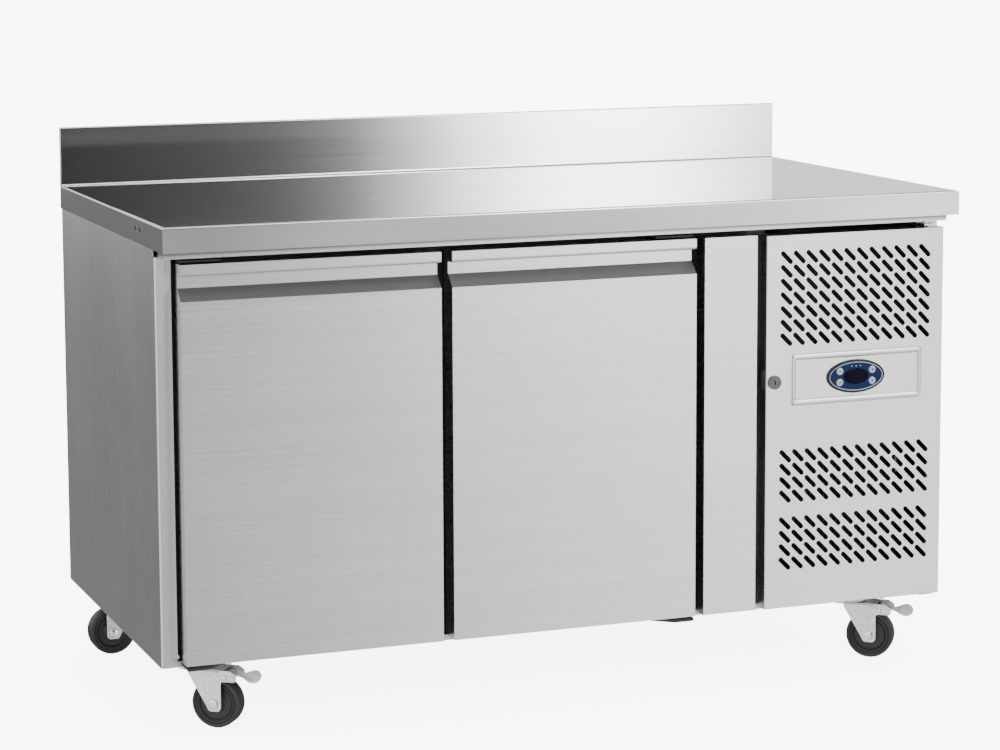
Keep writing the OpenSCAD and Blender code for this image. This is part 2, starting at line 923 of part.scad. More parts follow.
module caster_fork(i, braked) {
    half = fork_in + fork_t;
    crown_t = 5;
    head_r = 8;
    head_t = 4;
    flange = braked ? 68 : 42;
    flange_z = braked ? 76 : 88;
    color(zinc)
        at_caster(i)
            difference() {
                union() {
                    box(-14, 42, -half, half, fork_top - crown_t, fork_top);
                    intersection() {
                        zcyl(-14, 0, half, fork_top - crown_t, fork_top);
                        box(-60, -13, -half, half, 0, base_z);
                    }
                    for (s = [-1, 1])
                        translate([0, s * (fork_in + fork_t / 2) + fork_t / 2, 0])
                            rotate([90, 0, 0])
                                linear_extrude(fork_t) {
                                    polygon([[-14, fork_top], [-14, 84], [18, axle_z - 6], [42, axle_z - 2],
                                        [42, flange_z], [flange, flange_z], [flange, 90], [42, fork_top]]);
                                    translate([trail, axle_z])
                                        circle(r = 12);
                                }
                    translate([trail, half + head_t, axle_z])
                        rotate([90, 0, 0])
                            cylinder(r = axle_r, h = 2 * (half + head_t));
                    for (s = [-1, 1])
                        translate([trail, s * (half + head_t / 2) + head_t / 2, axle_z])
                            rotate([90, 0, 0])
                                cylinder(r = head_r, h = head_t);
                    if (braked)
                        translate([brake_u, half, brake_z])
                            rotate([90, 0, 0])
                                cylinder(r = brake_pin, h = 2 * half);
                }
                zcyl(0, 0, king_r + run, 0, base_z);
            }
}

module caster_wheel(i) {
    r = wheel_d / 2;
    half = wheel_w / 2;
    tread = 8;
    round_r = 4;
    hub_r = 13;
    hub_w = 33;
    web_w = 12;
    color(black)
        at_caster(i)
            translate([trail, 0, axle_z])
                rotate([90, 0, 0])
                    rotate_extrude() {
                        translate([r - tread, -half])
                            square([tread - round_r, wheel_w]);
                        translate([r - tread, round_r - half])
                            square([tread, wheel_w - 2 * round_r]);
                        for (s = [-1, 1])
                            translate([r - round_r, s * (half - round_r)])
                                circle(r = round_r);
                        translate([r - tread - 4, 1 - half])
                            square([tread, wheel_w - 2]);
                        translate([axle_r + run, -web_w / 2])
                            square([r - tread - axle_r, web_w]);
                        translate([axle_r + run, -hub_w / 2])
                            square([hub_r - axle_r, hub_w]);
                    }
}

module caster_brake(i) {
    hub_r = 6;
    hub_w = 15;
    arm_w = 10;
    arm_end = 80;
    shoe = 7.5;
    paddle_u = 90;
    paddle_z = 84;
    paddle_r = 11.5;
    paddle_t = 3;
    paddle_roll = 45;
    color(zinc)
        at_caster(i)
            difference() {
                union() {
                    translate([brake_u, hub_w, brake_z])
                        rotate([90, 0, 0])
                            cylinder(r = hub_r, h = 2 * hub_w);
                    translate([0, arm_w / 2, 0])
                        rotate([90, 0, 0])
                            linear_extrude(arm_w)
                                polygon([[brake_u - 2, brake_z + 3], [brake_u + 3, brake_z - 4],
                                    [arm_end, paddle_z - 1.5], [arm_end, paddle_z + 1.5],
                                    [brake_u + 12, brake_z + 5]]);
                    translate([paddle_u, 0, paddle_z])
                        rotate([paddle_roll, 0, 0])
                            translate([0, 0, -paddle_t / 2])
                                cylinder(r = paddle_r, h = paddle_t);
                    box(brake_u + 1, brake_u + 5, -hub_w, hub_w, brake_z - shoe, brake_z);
                }
                translate([brake_u, 2 * hub_w, brake_z])
                    rotate([90, 0, 0])
                        cylinder(r = brake_pin + run, h = 4 * hub_w);
            }
}

module screw_head(r, t) {
    difference() {
        cylinder(r = r, h = t);
        translate([-r / 6, -r * 0.6, t / 2])
            cube([r / 3, r * 1.2, t]);
        translate([-r * 0.6, -r / 6, t / 2])
            cube([r * 1.2, r / 3, t]);
    }
}

module screws() {
    end_r = 2.5;
    end_t = 1.15;
    head_r = 4;
    head_t = 1.8;
    cap_t = 2.6;
    color(alu) {
        end_screw_places()
            translate([0, 0, end_t + 0.05])
                mirror([0, 0, 1])
                    screw_head(end_r, end_t);
        for (p = [[sxl + 24, dy1 - fit, base_z + 17], [sxr - 7, dy1 + 4 - fit, base_z + 6]])
            translate(p)
                rotate([90, 0, 0])
                    screw_head(head_r, head_t);
        for (x = [rd1 - 38, rd1 - 8, ld0 + 8, ld0 + 38])
            translate([x, yf + 50, base_z + 2])
                mirror([0, 0, 1])
                    screw_head(head_r, cap_t);
    }
}

module cable_gland() {
    bore_r = 5;
    body_r = 11.8;
    nut_r = 15;
    nut_t = 5.8;
    cap_t = 3.2;
    tip_r = 10;
    back = rear_y + sheet + fit;
    color(black)
        difference() {
            union() {
                ycyl(gland_x, gland_z, body_r, rear_y - 14, rear_y + over);
                ycyl(gland_x, gland_z, nut_r, back, back + cap_t);
                ycyl(gland_x, gland_z, nut_r, rear_y - fit - nut_t, rear_y - fit);
                ycyl(gland_x, gland_z, tip_r, rear_y, yb - 1);
            }
            ycyl(gland_x, gland_z, bore_r, rear_y - 30, yb + over);
        }
}

// ---- Doors ----

// Finger recess of one door, grown by g
module handle_cut(x0, x1, g) {
    slope_z = -57 - 1.38 * g;
    rise = 0.95;
    deep = handle_d + g;
    lip_r = 5;
    xprism(x0 - over, x1 + over)
        translate([dy0, dz1])
            difference() {
                union() {
                    polygon([[-over, slope_z - over * rise], [deep, slope_z + deep * rise],
                        [deep, g - handle_lip], [-over, g - handle_lip]]);
                    translate([-over, g - handle_lip])
                        square([over + lip_r, lip_r - g]);
                }
                translate([lip_r, lip_r - handle_lip])
                    circle(r = lip_r - g);
            }
}

module door_block(x0, x1, g, back) {
    difference() {
        box(x0 + g, x1 - g, dy0 + g, back, dz0 + g, dz1 - g);
        handle_cut(x0, x1, g);
    }
}

module hinge_bores(hx) {
    zcyl(hx, hinge_y, pin_r + run, dz0 - over, dz0 + bush_l + 2);
    zcyl(hx, hinge_y, pin_r + run, dz1 - bush_l, dz1 + over);
}

module door_skin(x0, x1, hx) {
    flange = 14;
    color(steel)
        difference() {
            door_block(x0, x1, 0, dy1);
            door_block(x0, x1, sheet, dy1 - sheet);
            box(x0 + flange, x1 - flange, dy1 - 2 * sheet, dy1 + over, dz0 + flange, dz1 - flange);
            hinge_bores(hx);
        }
}

module door_core(x0, x1, hx) {
    color(foam)
        difference() {
            door_block(x0, x1, sheet + fit, dy1 - sheet - fit);
            hinge_bores(hx);
        }
}

module door_liner(x0, x1) {
    edge = 2;
    plug = 37;
    color([0.85, 0.86, 0.87]) {
        box(x0 + edge, x1 - edge, dy1 + 0.1, liner_back, dz0 + edge, dz1 - edge);
        box(x0 + plug, x1 - plug, dy1 + 0.1, liner_back + 5, dz0 + plug, dz1 - plug);
    }
}

module ring_xz(x0, x1, z0, z1, w, y0, y1) {
    difference() {
        box(x0, x1, y0, y1, z0, z1);
        box(x0 + w, x1 - w, y0 - over, y1 + over, z0 + w, z1 - w);
    }
}

module door_gasket(x0, x1) {
    inset = 18;
    width = 14;
    neck = 3;
    mid_y = liner_back + 4;
    color([0.30, 0.31, 0.33]) {
        ring_xz(x0 + inset, x1 - inset, dz0 + inset, dz1 - inset, width, liner_back + 0.1, liner_back + 2.5);
        ring_xz(x0 + inset + neck, x1 - inset - neck, dz0 + inset + neck, dz1 - inset - neck,
            width - 2 * neck, liner_back + 2.4, mid_y + 0.1);
        ring_xz(x0 + inset, x1 - inset, dz0 + inset, dz1 - inset, width, mid_y, frame_y - 0.3);
    }
}

module left_door_skin() {
    door_skin(ld0, ld1, ld0 + hinge_in);
}

module left_door_core() {
    door_core(ld0, ld1, ld0 + hinge_in);
}

module left_door_liner() {
    door_liner(ld0, ld1);
}

module left_door_gasket() {
    door_gasket(ld0, ld1);
}

module right_door_skin() {
    door_skin(rd0, rd1, rd1 - hinge_in);
}

module right_door_core() {
    door_core(rd0, rd1, rd1 - hinge_in);
}

module right_door_liner() {
    door_liner(rd0, rd1);
}

module right_door_gasket() {
    door_gasket(rd0, rd1);
}

// ---- Machine panel ----

// Slanted louvre slot with round ends, drawn as one outline
module slot_shape() {
    r = slot_w / 2;
    half = slot_l / 2 - r;
    steps = 5;
    rotate(-45)
        polygon([
            for (i = [0:steps]) [half + r * cos(-90 + i * 180 / steps), r * sin(-90 + i * 180 / steps)],
            for (i = [0:steps]) [-half + r * cos(90 + i * 180 / steps), r * sin(90 + i * 180 / steps)]
        ]);
}

module machine_panel() {
    bead_w = 11;
    bead_h = 2.5;
    bead_r = 9;
    bx0 = mp0 + 43.5;
    bx1 = mp0 + 288.5;
    bz0 = 458;
    bz1 = 544.6;
    bush_x = pivot_x - 9;
    bush_z = 14;
    lock_hole = 9.3;
    color(steel)
        difference() {
            union() {
                difference() {
                    box(mp0, mp1, dy0, dy0 + pan_d, mz0, mz1);
                    box(mp0 + sheet, mp1 - sheet, dy0 + sheet, dy0 + pan_d + over, mz0 + sheet, mz1 - sheet);
                    yprism(dy0 - over, dy0 + over)
                        for (c = [0:slot_cols - 1], z = slot_rows)
                            translate([slot_x0 + c * slot_dx, z])
                                slot_shape();
                }
                for (z = [mz0 + sheet, mz1 - sheet - bush_z])
                    box(bush_x, mp1 - sheet, dy0 + sheet, hinge_y + 9, z, z + bush_z);
                yprism(dy0 - bead_h, dy0 + fit)
                    difference() {
                        rounded(bx0, bx1, bz0, bz1, bead_r);
                        rounded(bx0 + bead_w, bx1 - bead_w, bz0 + bead_w, bz1 - bead_w, bead_r / 2);
                    }
            }
            for (z = [mz0, mz1])
                zcyl(pivot_x, hinge_y, pivot_r + run, z - bush_z, z + bush_z);
            ycyl(lock_x, lock_z, lock_hole, dy0 - over, dy0 + over);
            translate([ctl_x, 0, ctl_z])
                yprism(dy0 - over, dy0 + over)
                    oval(ctl_rx - 3.5, ctl_rz - 3.5);
        }
}

module button_places() {
    for (sx = [-1, 1], z = [button_up, button_dn])
        translate([ctl_x + sx * button_dx, 0, ctl_z + z])
            children();
}

module controller_housing() {
    rim_t = 4;
    body_d = 26;
    body_in = 3.8;
    ledge = 0.5;
    seat = 0.3;
    color(black)
        translate([ctl_x, 0, ctl_z])
            difference() {
                union() {
                    yprism(dy0 - rim_t, dy0 - run)
                        oval(ctl_rx, ctl_rz);
                    yprism(dy0 - 2 * run, dy0 + body_d)
                        oval(ctl_rx - body_in, ctl_rz - body_in);
                }
                yprism(dy0 - rim_t - 1, dy0 - ledge)
                    oval(face_rx + seat, face_rz + seat);
                yprism(dy0 - 1, dy0 + body_d - 2)
                    oval(face_rx - seat, face_rz - seat);
            }
}

module controller_face() {
    front = 2.6;
    back = 0.6;
    display_rx = 23;
    display_rz = 13.5;
    display_y = 3.2;
    hole_gap = 0.3;
    color(navy)
        difference() {
            translate([ctl_x, 0, ctl_z]) {
                yprism(dy0 - front, dy0 - back)
                    oval(face_rx, face_rz);
                yprism(dy0 - display_y, dy0 - front + 0.1)
                    oval(display_rx, display_rz);
            }
            button_places()
                ycyl(0, 0, button_r + hole_gap, dy0 - over, dy0 + over);
        }
}

module button(sx, z) {
    lip_r = 6.7;
    front = 4;
    back = 1.5;
    color(alu)
        translate([ctl_x + sx * button_dx, 0, ctl_z + z]) {
            ycyl(0, 0, button_r, dy0 - front, dy0 + back);
            ycyl(0, 0, lip_r, dy0 - 0.2, dy0 + back);
        }
}

module button_upper_left() {
    button(-1, button_up);
}

module button_lower_left() {
    button(-1, button_dn);
}

module button_upper_right() {
    button(1, button_up);
}

module button_lower_right() {
    button(1, button_dn);
}

module lock_barrel() {
    collar_r = 11.5;
    collar_t = 3;
    body_r = 9;
    body_l = 28;
    nut_r = 12;
    color(alu)
        difference() {
            union() {
                ycyl(lock_x, lock_z, collar_r, dy0 - collar_t, dy0 - run);
                ycyl(lock_x, lock_z, body_r, dy0 - 2 * run, dy0 + body_l);
                ycyl(lock_x, lock_z, nut_r, dy0 + sheet + 0.1, dy0 + 5);
            }
            ycyl(lock_x, lock_z, lock_r + run, dy0 - over, dy0 + body_l + over);
        }
}

module lock_plug() {
    front = 3.3;
    cam_y = dy0 + 32;
    cam_t = 2;
    cam_l = 28;
    cam_w = 10;
    key_w = 2;
    key_h = 8;
    key_d = 8;
    color(zinc) {
        difference() {
            ycyl(lock_x, lock_z, lock_r, dy0 - front, cam_y + cam_t);
            box(lock_x - key_w / 2, lock_x + key_w / 2, dy0 - over, dy0 + key_d,
                lock_z - key_h / 2, lock_z + key_h / 2);
        }
        box(lock_x - cam_w / 2, lock_x + cam_w / 2, cam_y, cam_y + cam_t, lock_z - cam_l, lock_z);
    }
}

module caster_fork_front_left() {
    caster_fork(0, true);
}

module caster_fork_front_right() {
    caster_fork(1, true);
}

module caster_fork_rear_left() {
    caster_fork(2, false);
}

module caster_fork_rear_right() {
    caster_fork(3, false);
}

module caster_wheel_front_left() {
    caster_wheel(0);
}

module caster_wheel_front_right() {
    caster_wheel(1);
}

module caster_wheel_rear_left() {
    caster_wheel(2);
}

module caster_wheel_rear_right() {
    caster_wheel(3);
}

module caster_brake_front_left() {
    caster_brake(0);
}

module caster_brake_front_right() {
    caster_brake(1);
}

// ---- Every node on its own line ----

worktop();
worktop_core();
upstand();
subtop_panel();
left_side_panel();
right_side_panel();
rear_panel();
base_panel();
insulation();
inner_liner();
door_frame();
centre_mullion();
filler_panel();
machine_partition();
unit_tray();
compressor();
condenser_coil();
condenser_shroud();
fan_motors();
evaporator_coil();
evaporator_cover();
refrigerant_pipes();
drip_tray();
electrical_box();
shelf_supports();
wire_shelves();
door_hinge_brackets();
panel_hinge_brackets();
caster_plates();
screws();
cable_gland();
left_door_skin();
left_door_core();
left_door_liner();
left_door_gasket();
right_door_skin();
right_door_core();
right_door_liner();
right_door_gasket();
machine_panel();
controller_housing();
controller_face();
lock_barrel();
lock_plug();
button_upper_left();
button_lower_left();
button_upper_right();
button_lower_right();
condenser_fan();
evaporator_fan();
caster_fork_front_left();
caster_fork_front_right();
caster_fork_rear_left();
caster_fork_rear_right();
caster_wheel_front_left();
caster_wheel_front_right();
caster_wheel_rear_left();
caster_wheel_rear_right();
caster_brake_front_left();
caster_brake_front_right();
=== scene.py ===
import json
import math

import bmesh
import bpy
from mathutils import Matrix, Vector


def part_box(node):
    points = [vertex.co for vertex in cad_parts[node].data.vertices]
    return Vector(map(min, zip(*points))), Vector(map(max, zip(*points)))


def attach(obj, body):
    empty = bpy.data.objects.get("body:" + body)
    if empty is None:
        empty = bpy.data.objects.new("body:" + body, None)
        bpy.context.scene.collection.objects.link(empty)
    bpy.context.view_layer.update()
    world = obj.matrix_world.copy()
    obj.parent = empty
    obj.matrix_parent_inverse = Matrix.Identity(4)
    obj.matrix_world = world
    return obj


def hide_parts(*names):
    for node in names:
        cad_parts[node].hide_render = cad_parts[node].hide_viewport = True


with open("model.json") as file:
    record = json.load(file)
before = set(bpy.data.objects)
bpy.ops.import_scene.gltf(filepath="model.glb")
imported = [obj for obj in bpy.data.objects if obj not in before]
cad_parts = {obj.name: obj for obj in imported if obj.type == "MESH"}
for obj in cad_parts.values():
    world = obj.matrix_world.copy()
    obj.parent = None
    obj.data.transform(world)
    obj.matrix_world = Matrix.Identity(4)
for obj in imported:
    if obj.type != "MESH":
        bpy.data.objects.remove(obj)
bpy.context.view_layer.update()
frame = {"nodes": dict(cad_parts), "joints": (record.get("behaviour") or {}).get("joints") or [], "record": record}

# All shapes below are drawn in millimetres and scaled by MM into the metres of the frame.
MM = 0.001
TO_METRES = Matrix.Scale(MM, 4)
# Turns a drawing in local X and Y upright: local Y goes up, local Z towards the front.
UPRIGHT = Matrix(((1, 0, 0, 0), (0, 0, -1, 0), (0, 1, 0, 0), (0, 0, 0, 1)))
NODES = frame["nodes"]
JOINTS = {joint["name"]: joint for joint in frame["joints"]}
SLOT_OF = {part["node"]: part["material_slot"] for part in frame["record"]["subparts"]}


# ---- Small node-tree helpers ----

def new_material(name):
    mat = bpy.data.materials.new(name)
    mat.use_nodes = True
    tree = mat.node_tree
    tree.nodes.clear()
    out = tree.nodes.new("ShaderNodeOutputMaterial")
    shader = tree.nodes.new("ShaderNodeBsdfPrincipled")
    tree.links.new(shader.outputs[0], out.inputs[0])
    return mat, tree, shader


def noise(tree, scale, mapping=(1, 1, 1), detail=2.0, rough=0.5):
    coords = tree.nodes.new("ShaderNodeTexCoord")
    place = tree.nodes.new("ShaderNodeMapping")
    place.inputs["Scale"].default_value = mapping
    tex = tree.nodes.new("ShaderNodeTexNoise")
    tex.inputs["Scale"].default_value = scale
    tex.inputs["Detail"].default_value = detail
    tex.inputs["Roughness"].default_value = rough
    tree.links.new(coords.outputs["Object"], place.inputs[0])
    tree.links.new(place.outputs[0], tex.inputs["Vector"])
    return tex.outputs["Fac"]


def spread(tree, fac, lo, hi, from_lo=0.3, from_hi=0.7):
    """Maps fac from its own range to lo...hi."""
    node = tree.nodes.new("ShaderNodeMapRange")
    node.inputs["From Min"].default_value = from_lo
    node.inputs["From Max"].default_value = from_hi
    node.inputs["To Min"].default_value = lo
    node.inputs["To Max"].default_value = hi
    tree.links.new(fac, node.inputs["Value"])
    return node.outputs[0]


def tint(tree, fac, tone, down, up, lo=0.3, hi=0.7):
    """Varies a colour by fac, from down below its tone to up above it."""
    ramp = tree.nodes.new("ShaderNodeValToRGB")
    dark, light = ramp.color_ramp.elements
    dark.position, light.position = lo, hi
    dark.color = (*[c * (1 - down) for c in tone], 1)
    light.color = (*[min(1.0, c * (1 + up)) for c in tone], 1)
    tree.links.new(fac, ramp.inputs[0])
    return ramp.outputs[0]


def mix_to(tree, colour, other, fac):
    """Mixes towards one fixed colour where fac is high."""
    mix = tree.nodes.new("ShaderNodeMix")
    mix.data_type = "RGBA"
    tree.links.new(fac, mix.inputs[0])
    tree.links.new(colour, mix.inputs[6])
    mix.inputs[7].default_value = (*other, 1)
    return mix.outputs[2]


def math_node(tree, operation, first, second):
    """A Math node. second is a socket or a number."""
    node = tree.nodes.new("ShaderNodeMath")
    node.operation = operation
    tree.links.new(first, node.inputs[0])
    if isinstance(second, float):
        node.inputs[1].default_value = second
    else:
        tree.links.new(second, node.inputs[1])
    return node.outputs[0]


def bump(tree, shader, height, strength, distance):
    node = tree.nodes.new("ShaderNodeBump")
    node.inputs["Strength"].default_value = strength
    node.inputs["Distance"].default_value = distance
    tree.links.new(height, node.inputs["Height"])
    tree.links.new(node.outputs[0], shader.inputs["Normal"])


def grain_tangent(tree, shader, grain):
    """Sets the tangent across the brushed lines, so reflections stretch as they do on brushed sheet."""
    turn = tree.nodes.new("ShaderNodeVectorTransform")
    turn.vector_type = "VECTOR"
    turn.convert_from = "OBJECT"
    turn.convert_to = "WORLD"
    turn.inputs[0].default_value = grain
    geo = tree.nodes.new("ShaderNodeNewGeometry")
    cross = tree.nodes.new("ShaderNodeVectorMath")
    cross.operation = "CROSS_PRODUCT"
    tree.links.new(geo.outputs["Normal"], cross.inputs[0])
    tree.links.new(turn.outputs[0], cross.inputs[1])
    tree.links.new(cross.outputs[0], shader.inputs["Tangent"])


# ---- Materials ----

def grey(level):
    return (level, level, level)


ALONG_X = (1, 0.08, 0)
ALONG_Z = (0.05, 0.08, 1)
LINER_GRAIN = (1, 0.3, 0)
# Noise scales along and across the grain, for single brushed lines and for broad bands
LINE_SCALE = (2.0, 900.0)
BAND_SCALE = (0.8, 60.0)
CLOUD_SCALE = 3.0
BUMP_DEPTH = 0.0003
BRUSH_DEPTH = 0.0002
SPANGLE_SCALE = 110.0
UNDER_SHADE = grey(0.07)
# How sharp an edge has to be to start wearing and to be worn most, and the share of the wear colour there
WORN_EDGES = (0.53, 0.62)
WORN_SHARE = 0.8


def brushed(name, tone, rough, grain, aniso=0.6, lines=0.05, streaks=0.04, shade=None):
    """Brushed sheet steel with fine lines along grain, faint bands. shade darkens it between two heights."""
    mat, tree, shader = new_material(name)
    fine = noise(tree, 1.0, [LINE_SCALE[0] if c > 0.5 else LINE_SCALE[1] for c in grain], 3.0)
    broad = noise(tree, 1.0, [BAND_SCALE[0] if c > 0.5 else BAND_SCALE[1] for c in grain], 4.0, 0.6)
    cloud = noise(tree, CLOUD_SCALE, detail=3.0)
    shader.inputs["Metallic"].default_value = 1.0
    colour = tint(tree, broad, tone, streaks, streaks)
    if shade:
        coords = tree.nodes.new("ShaderNodeTexCoord")
        split = tree.nodes.new("ShaderNodeSeparateXYZ")
        tree.links.new(coords.outputs["Object"], split.inputs[0])
        shadow = spread(tree, split.outputs["Z"], 0.0, 1.0, *shade)
        colour = mix_to(tree, colour, UNDER_SHADE, shadow)
    tree.links.new(colour, shader.inputs["Base Color"])
    line_rough = spread(tree, fine, rough * 0.86, rough * 1.14)
    cloud_rough = spread(tree, cloud, rough * -0.06, rough * 0.10)
    tree.links.new(math_node(tree, "ADD", line_rough, cloud_rough), shader.inputs["Roughness"])
    shader.inputs["Anisotropic"].default_value = aniso
    grain_tangent(tree, shader, grain)
    bump(tree, shader, fine, lines, BRUSH_DEPTH)
    return mat


def plain(name, tone, rough, metallic=0.0, vary=0.06, grain=220.0, bumps=0.05, coat=0.0, wear=None,
          shine=0.5, patches=14.0):
    """Moulded, painted, plated or cast: mottled, a little bumpy, its edges worn to the wear colour."""
    mat, tree, shader = new_material(name)
    fine = noise(tree, grain, detail=4.0)
    cloud = noise(tree, patches, detail=3.0)
    shader.inputs["Metallic"].default_value = metallic
    colour = tint(tree, cloud, tone, vary, vary)
    if wear:
        geo = tree.nodes.new("ShaderNodeNewGeometry")
        worn = spread(tree, geo.outputs["Pointiness"], 0.0, WORN_SHARE, *WORN_EDGES)
        colour = mix_to(tree, colour, wear, worn)
    tree.links.new(colour, shader.inputs["Base Color"])
    mottled = spread(tree, cloud, max(0.02, rough - 0.05), rough + 0.06)
    tree.links.new(mottled, shader.inputs["Roughness"])
    shader.inputs["Coat Weight"].default_value = coat
    shader.inputs["Specular IOR Level"].default_value = shine
    bump(tree, shader, fine, bumps, BUMP_DEPTH)
    return mat


def spangled(name, tone, rough):
    """Galvanised sheet with large zinc crystals."""
    mat, tree, shader = new_material(name)
    coords = tree.nodes.new("ShaderNodeTexCoord")
    cells = tree.nodes.new("ShaderNodeTexVoronoi")
    cells.inputs["Scale"].default_value = SPANGLE_SCALE
    tree.links.new(coords.outputs["Object"], cells.inputs["Vector"])
    crystal = tree.nodes.new("ShaderNodeRGBToBW")
    tree.links.new(cells.outputs["Color"], crystal.inputs[0])
    shader.inputs["Metallic"].default_value = 1.0
    colour = tint(tree, crystal.outputs[0], tone, 0.05, 0.04, 0.2, 0.8)
    tree.links.new(colour, shader.inputs["Base Color"])
    dull = spread(tree, crystal.outputs[0], rough - 0.03, rough + 0.03)
    tree.links.new(dull, shader.inputs["Roughness"])
    bump(tree, shader, crystal.outputs[0], 0.03, BUMP_DEPTH)
    return mat


STEEL_TONE = (0.72, 0.72, 0.715)
BLACK_TONE = (0.010, 0.010, 0.011)
WORN_ZINC = (0.85, 0.85, 0.82)
# The strip just under the front edge of the worktop lies in its shadow.
APRON_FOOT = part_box("worktop")[0].z
BAND_SHADE = (APRON_FOOT - 9 * MM, APRON_FOOT - 3 * MM)
LOOKS = {
    "steel_x": brushed("steel_grain_x", STEEL_TONE, 0.25, ALONG_X, aniso=0.55, streaks=0.03),
    "steel_top": brushed("steel_worktop", (0.66, 0.66, 0.655), 0.055, ALONG_X, aniso=0.2, lines=0.006),
    "steel_back": brushed("steel_upstand", (0.80, 0.80, 0.795), 0.065, ALONG_X, aniso=0.2, lines=0.006),
    # A dark copy of the door steel: painted shade on the sloping faces under the handle lips
    "steel_shade": brushed("steel_recess_painted_shade", grey(0.20), 0.34, ALONG_X),
    "steel_z": brushed("steel_grain_z", STEEL_TONE, 0.30, ALONG_Z),
    "steel_side": brushed("steel_side", grey(0.64), 0.26, ALONG_Z, aniso=0.3, lines=0.008, streaks=0.010),
    "steel_band": brushed("steel_band", grey(0.62), 0.28, ALONG_X, shade=BAND_SHADE),
    "steel_in": brushed("steel_liner", grey(0.70), 0.36, LINER_GRAIN, aniso=0.3),
    "galvanised": spangled("galvanised_sheet", (0.60, 0.62, 0.64), 0.42),
    # Galvanised sheet darkened far below its own colour: painted shade for the inside of the machine compartment
    # and for the lock strike in its gap
    "galvanised_painted_shade": spangled("galvanised_painted_shade", grey(0.10), 0.5),
    "coil_dark": plain("coil_dark", grey(0.02), 0.55, vary=0.15, grain=300.0, bumps=0.1),
    "zinc": plain("zinc_plate", (0.74, 0.75, 0.77), 0.27, metallic=1.0, vary=0.05, grain=350.0, bumps=0.06),
    "dull_zinc": plain("dull_zinc", grey(0.14), 0.38, metallic=1.0, vary=0.25, grain=260.0, bumps=0.25,
                       patches=160.0),
    "fork_zinc": plain("fork_zinc", (0.64, 0.64, 0.61), 0.36, metallic=1.0, vary=0.20, grain=200.0,
                       bumps=0.3, wear=WORN_ZINC, patches=150.0),
    "pedal_zinc": plain("pedal_zinc", (0.66, 0.66, 0.64), 0.34, metallic=0.45, vary=0.25, grain=200.0,
                        bumps=0.3, wear=WORN_ZINC, patches=150.0),
    "chrome": plain("bright_plate", (0.80, 0.80, 0.81), 0.14, metallic=1.0, vary=0.03, grain=350.0,
                    bumps=0.03),
    "board": plain("raw_board", (0.42, 0.30, 0.18), 0.75, vary=0.2, grain=400.0, bumps=0.3),
    "foam": plain("rigid_foam", (0.80, 0.68, 0.38), 0.8, vary=0.08, grain=500.0, bumps=0.4),
    "grey": plain("grey_moulding", (0.66, 0.67, 0.68), 0.42, vary=0.03, grain=500.0),
    "gasket": plain("soft_gasket", (0.10, 0.105, 0.11), 0.55, vary=0.05, grain=500.0, bumps=0.08),
    "black": plain("black_moulding", BLACK_TONE, 0.48, vary=0.15, grain=600.0, bumps=0.10, shine=0.25),
    "black_paint": plain("black_paint", BLACK_TONE, 0.38, vary=0.12, grain=300.0, bumps=0.12, wear=grey(0.06),
                         shine=0.3),
    "alu": plain("mill_aluminium", (0.80, 0.81, 0.82), 0.33, metallic=1.0, vary=0.05, grain=300.0,
                 bumps=0.08),
    "copper": plain("drawn_copper", (0.78, 0.42, 0.26), 0.28, metallic=1.0, vary=0.10, grain=200.0),
    "wire": plain("coated_wire", (0.62, 0.64, 0.66), 0.34, vary=0.03, grain=400.0, bumps=0.04, coat=0.3),
    "tyre": plain("caster_rubber", (0.011, 0.011, 0.012), 0.42, vary=0.2, grain=300.0, bumps=0.12,
                  wear=grey(0.03), shine=0.35),
    "navy": plain("navy_overlay", (0.0025, 0.009, 0.036), 0.35, grain=300.0, bumps=0.02, shine=0.12),
    "display": plain("display_window", (0.001, 0.001, 0.006), 0.10, vary=0.2, grain=100.0, bumps=0.0,
                     shine=0.05),
    "pearl": plain("silver_overlay", (0.27, 0.31, 0.39), 0.30, metallic=0.4, vary=0.08, grain=300.0,
                   bumps=0.03, coat=0.1),
    "icon": plain("printed_mark", (0.03, 0.06, 0.14), 0.35, vary=0.1, grain=300.0, bumps=0.0),
    "print": plain("pale_print", (0.16, 0.19, 0.26), 0.35, vary=0.05, grain=300.0, bumps=0.0),
}

# The look of a CAD node comes from its material slot in the record, unless it has one of its own.
SLOT_LOOK = {
    "stainless": "steel_x", "galvanised": "galvanised", "zinc": "zinc", "board": "board", "foam": "foam",
    "grey_plastic": "grey", "gasket": "gasket", "black_plastic": "black", "black_metal": "black_paint",
    "aluminium": "alu", "copper": "copper", "coated_wire": "wire", "blue_plastic": "navy",
    "silver_plastic": "pearl", "tyre": "tyre",
}
OWN_LOOK = {
    "worktop": "steel_top", "upstand": "steel_back", "subtop_panel": "steel_band",
    "left_side_panel": "steel_side", "right_side_panel": "steel_side",
    "inner_liner": "steel_in", "evaporator_cover": "steel_in", "shelf_supports": "steel_z",
    "panel_hinge_brackets": "zinc", "screws": "chrome", "lock_barrel": "dull_zinc", "lock_plug": "dull_zinc",
    # The partition, tray and shroud of the machine compartment take the painted shade of the darkened sheet
    "filler_panel": "steel_x", "machine_partition": "galvanised_painted_shade", "unit_tray": "galvanised_painted_shade",
    "condenser_coil": "coil_dark", "condenser_shroud": "galvanised_painted_shade",
}


# ---- Mesh helpers ----

def smooth_by_angle(obj, degrees=32):
    for poly in obj.data.polygons:
        poly.use_smooth = True
    limit = math.radians(degrees)
    bm = bmesh.new()
    bm.from_mesh(obj.data)
    for edge in bm.edges:
        edge.smooth = len(edge.link_faces) == 2 and edge.calc_face_angle(0.0) < limit
    bm.to_mesh(obj.data)
    bm.free()


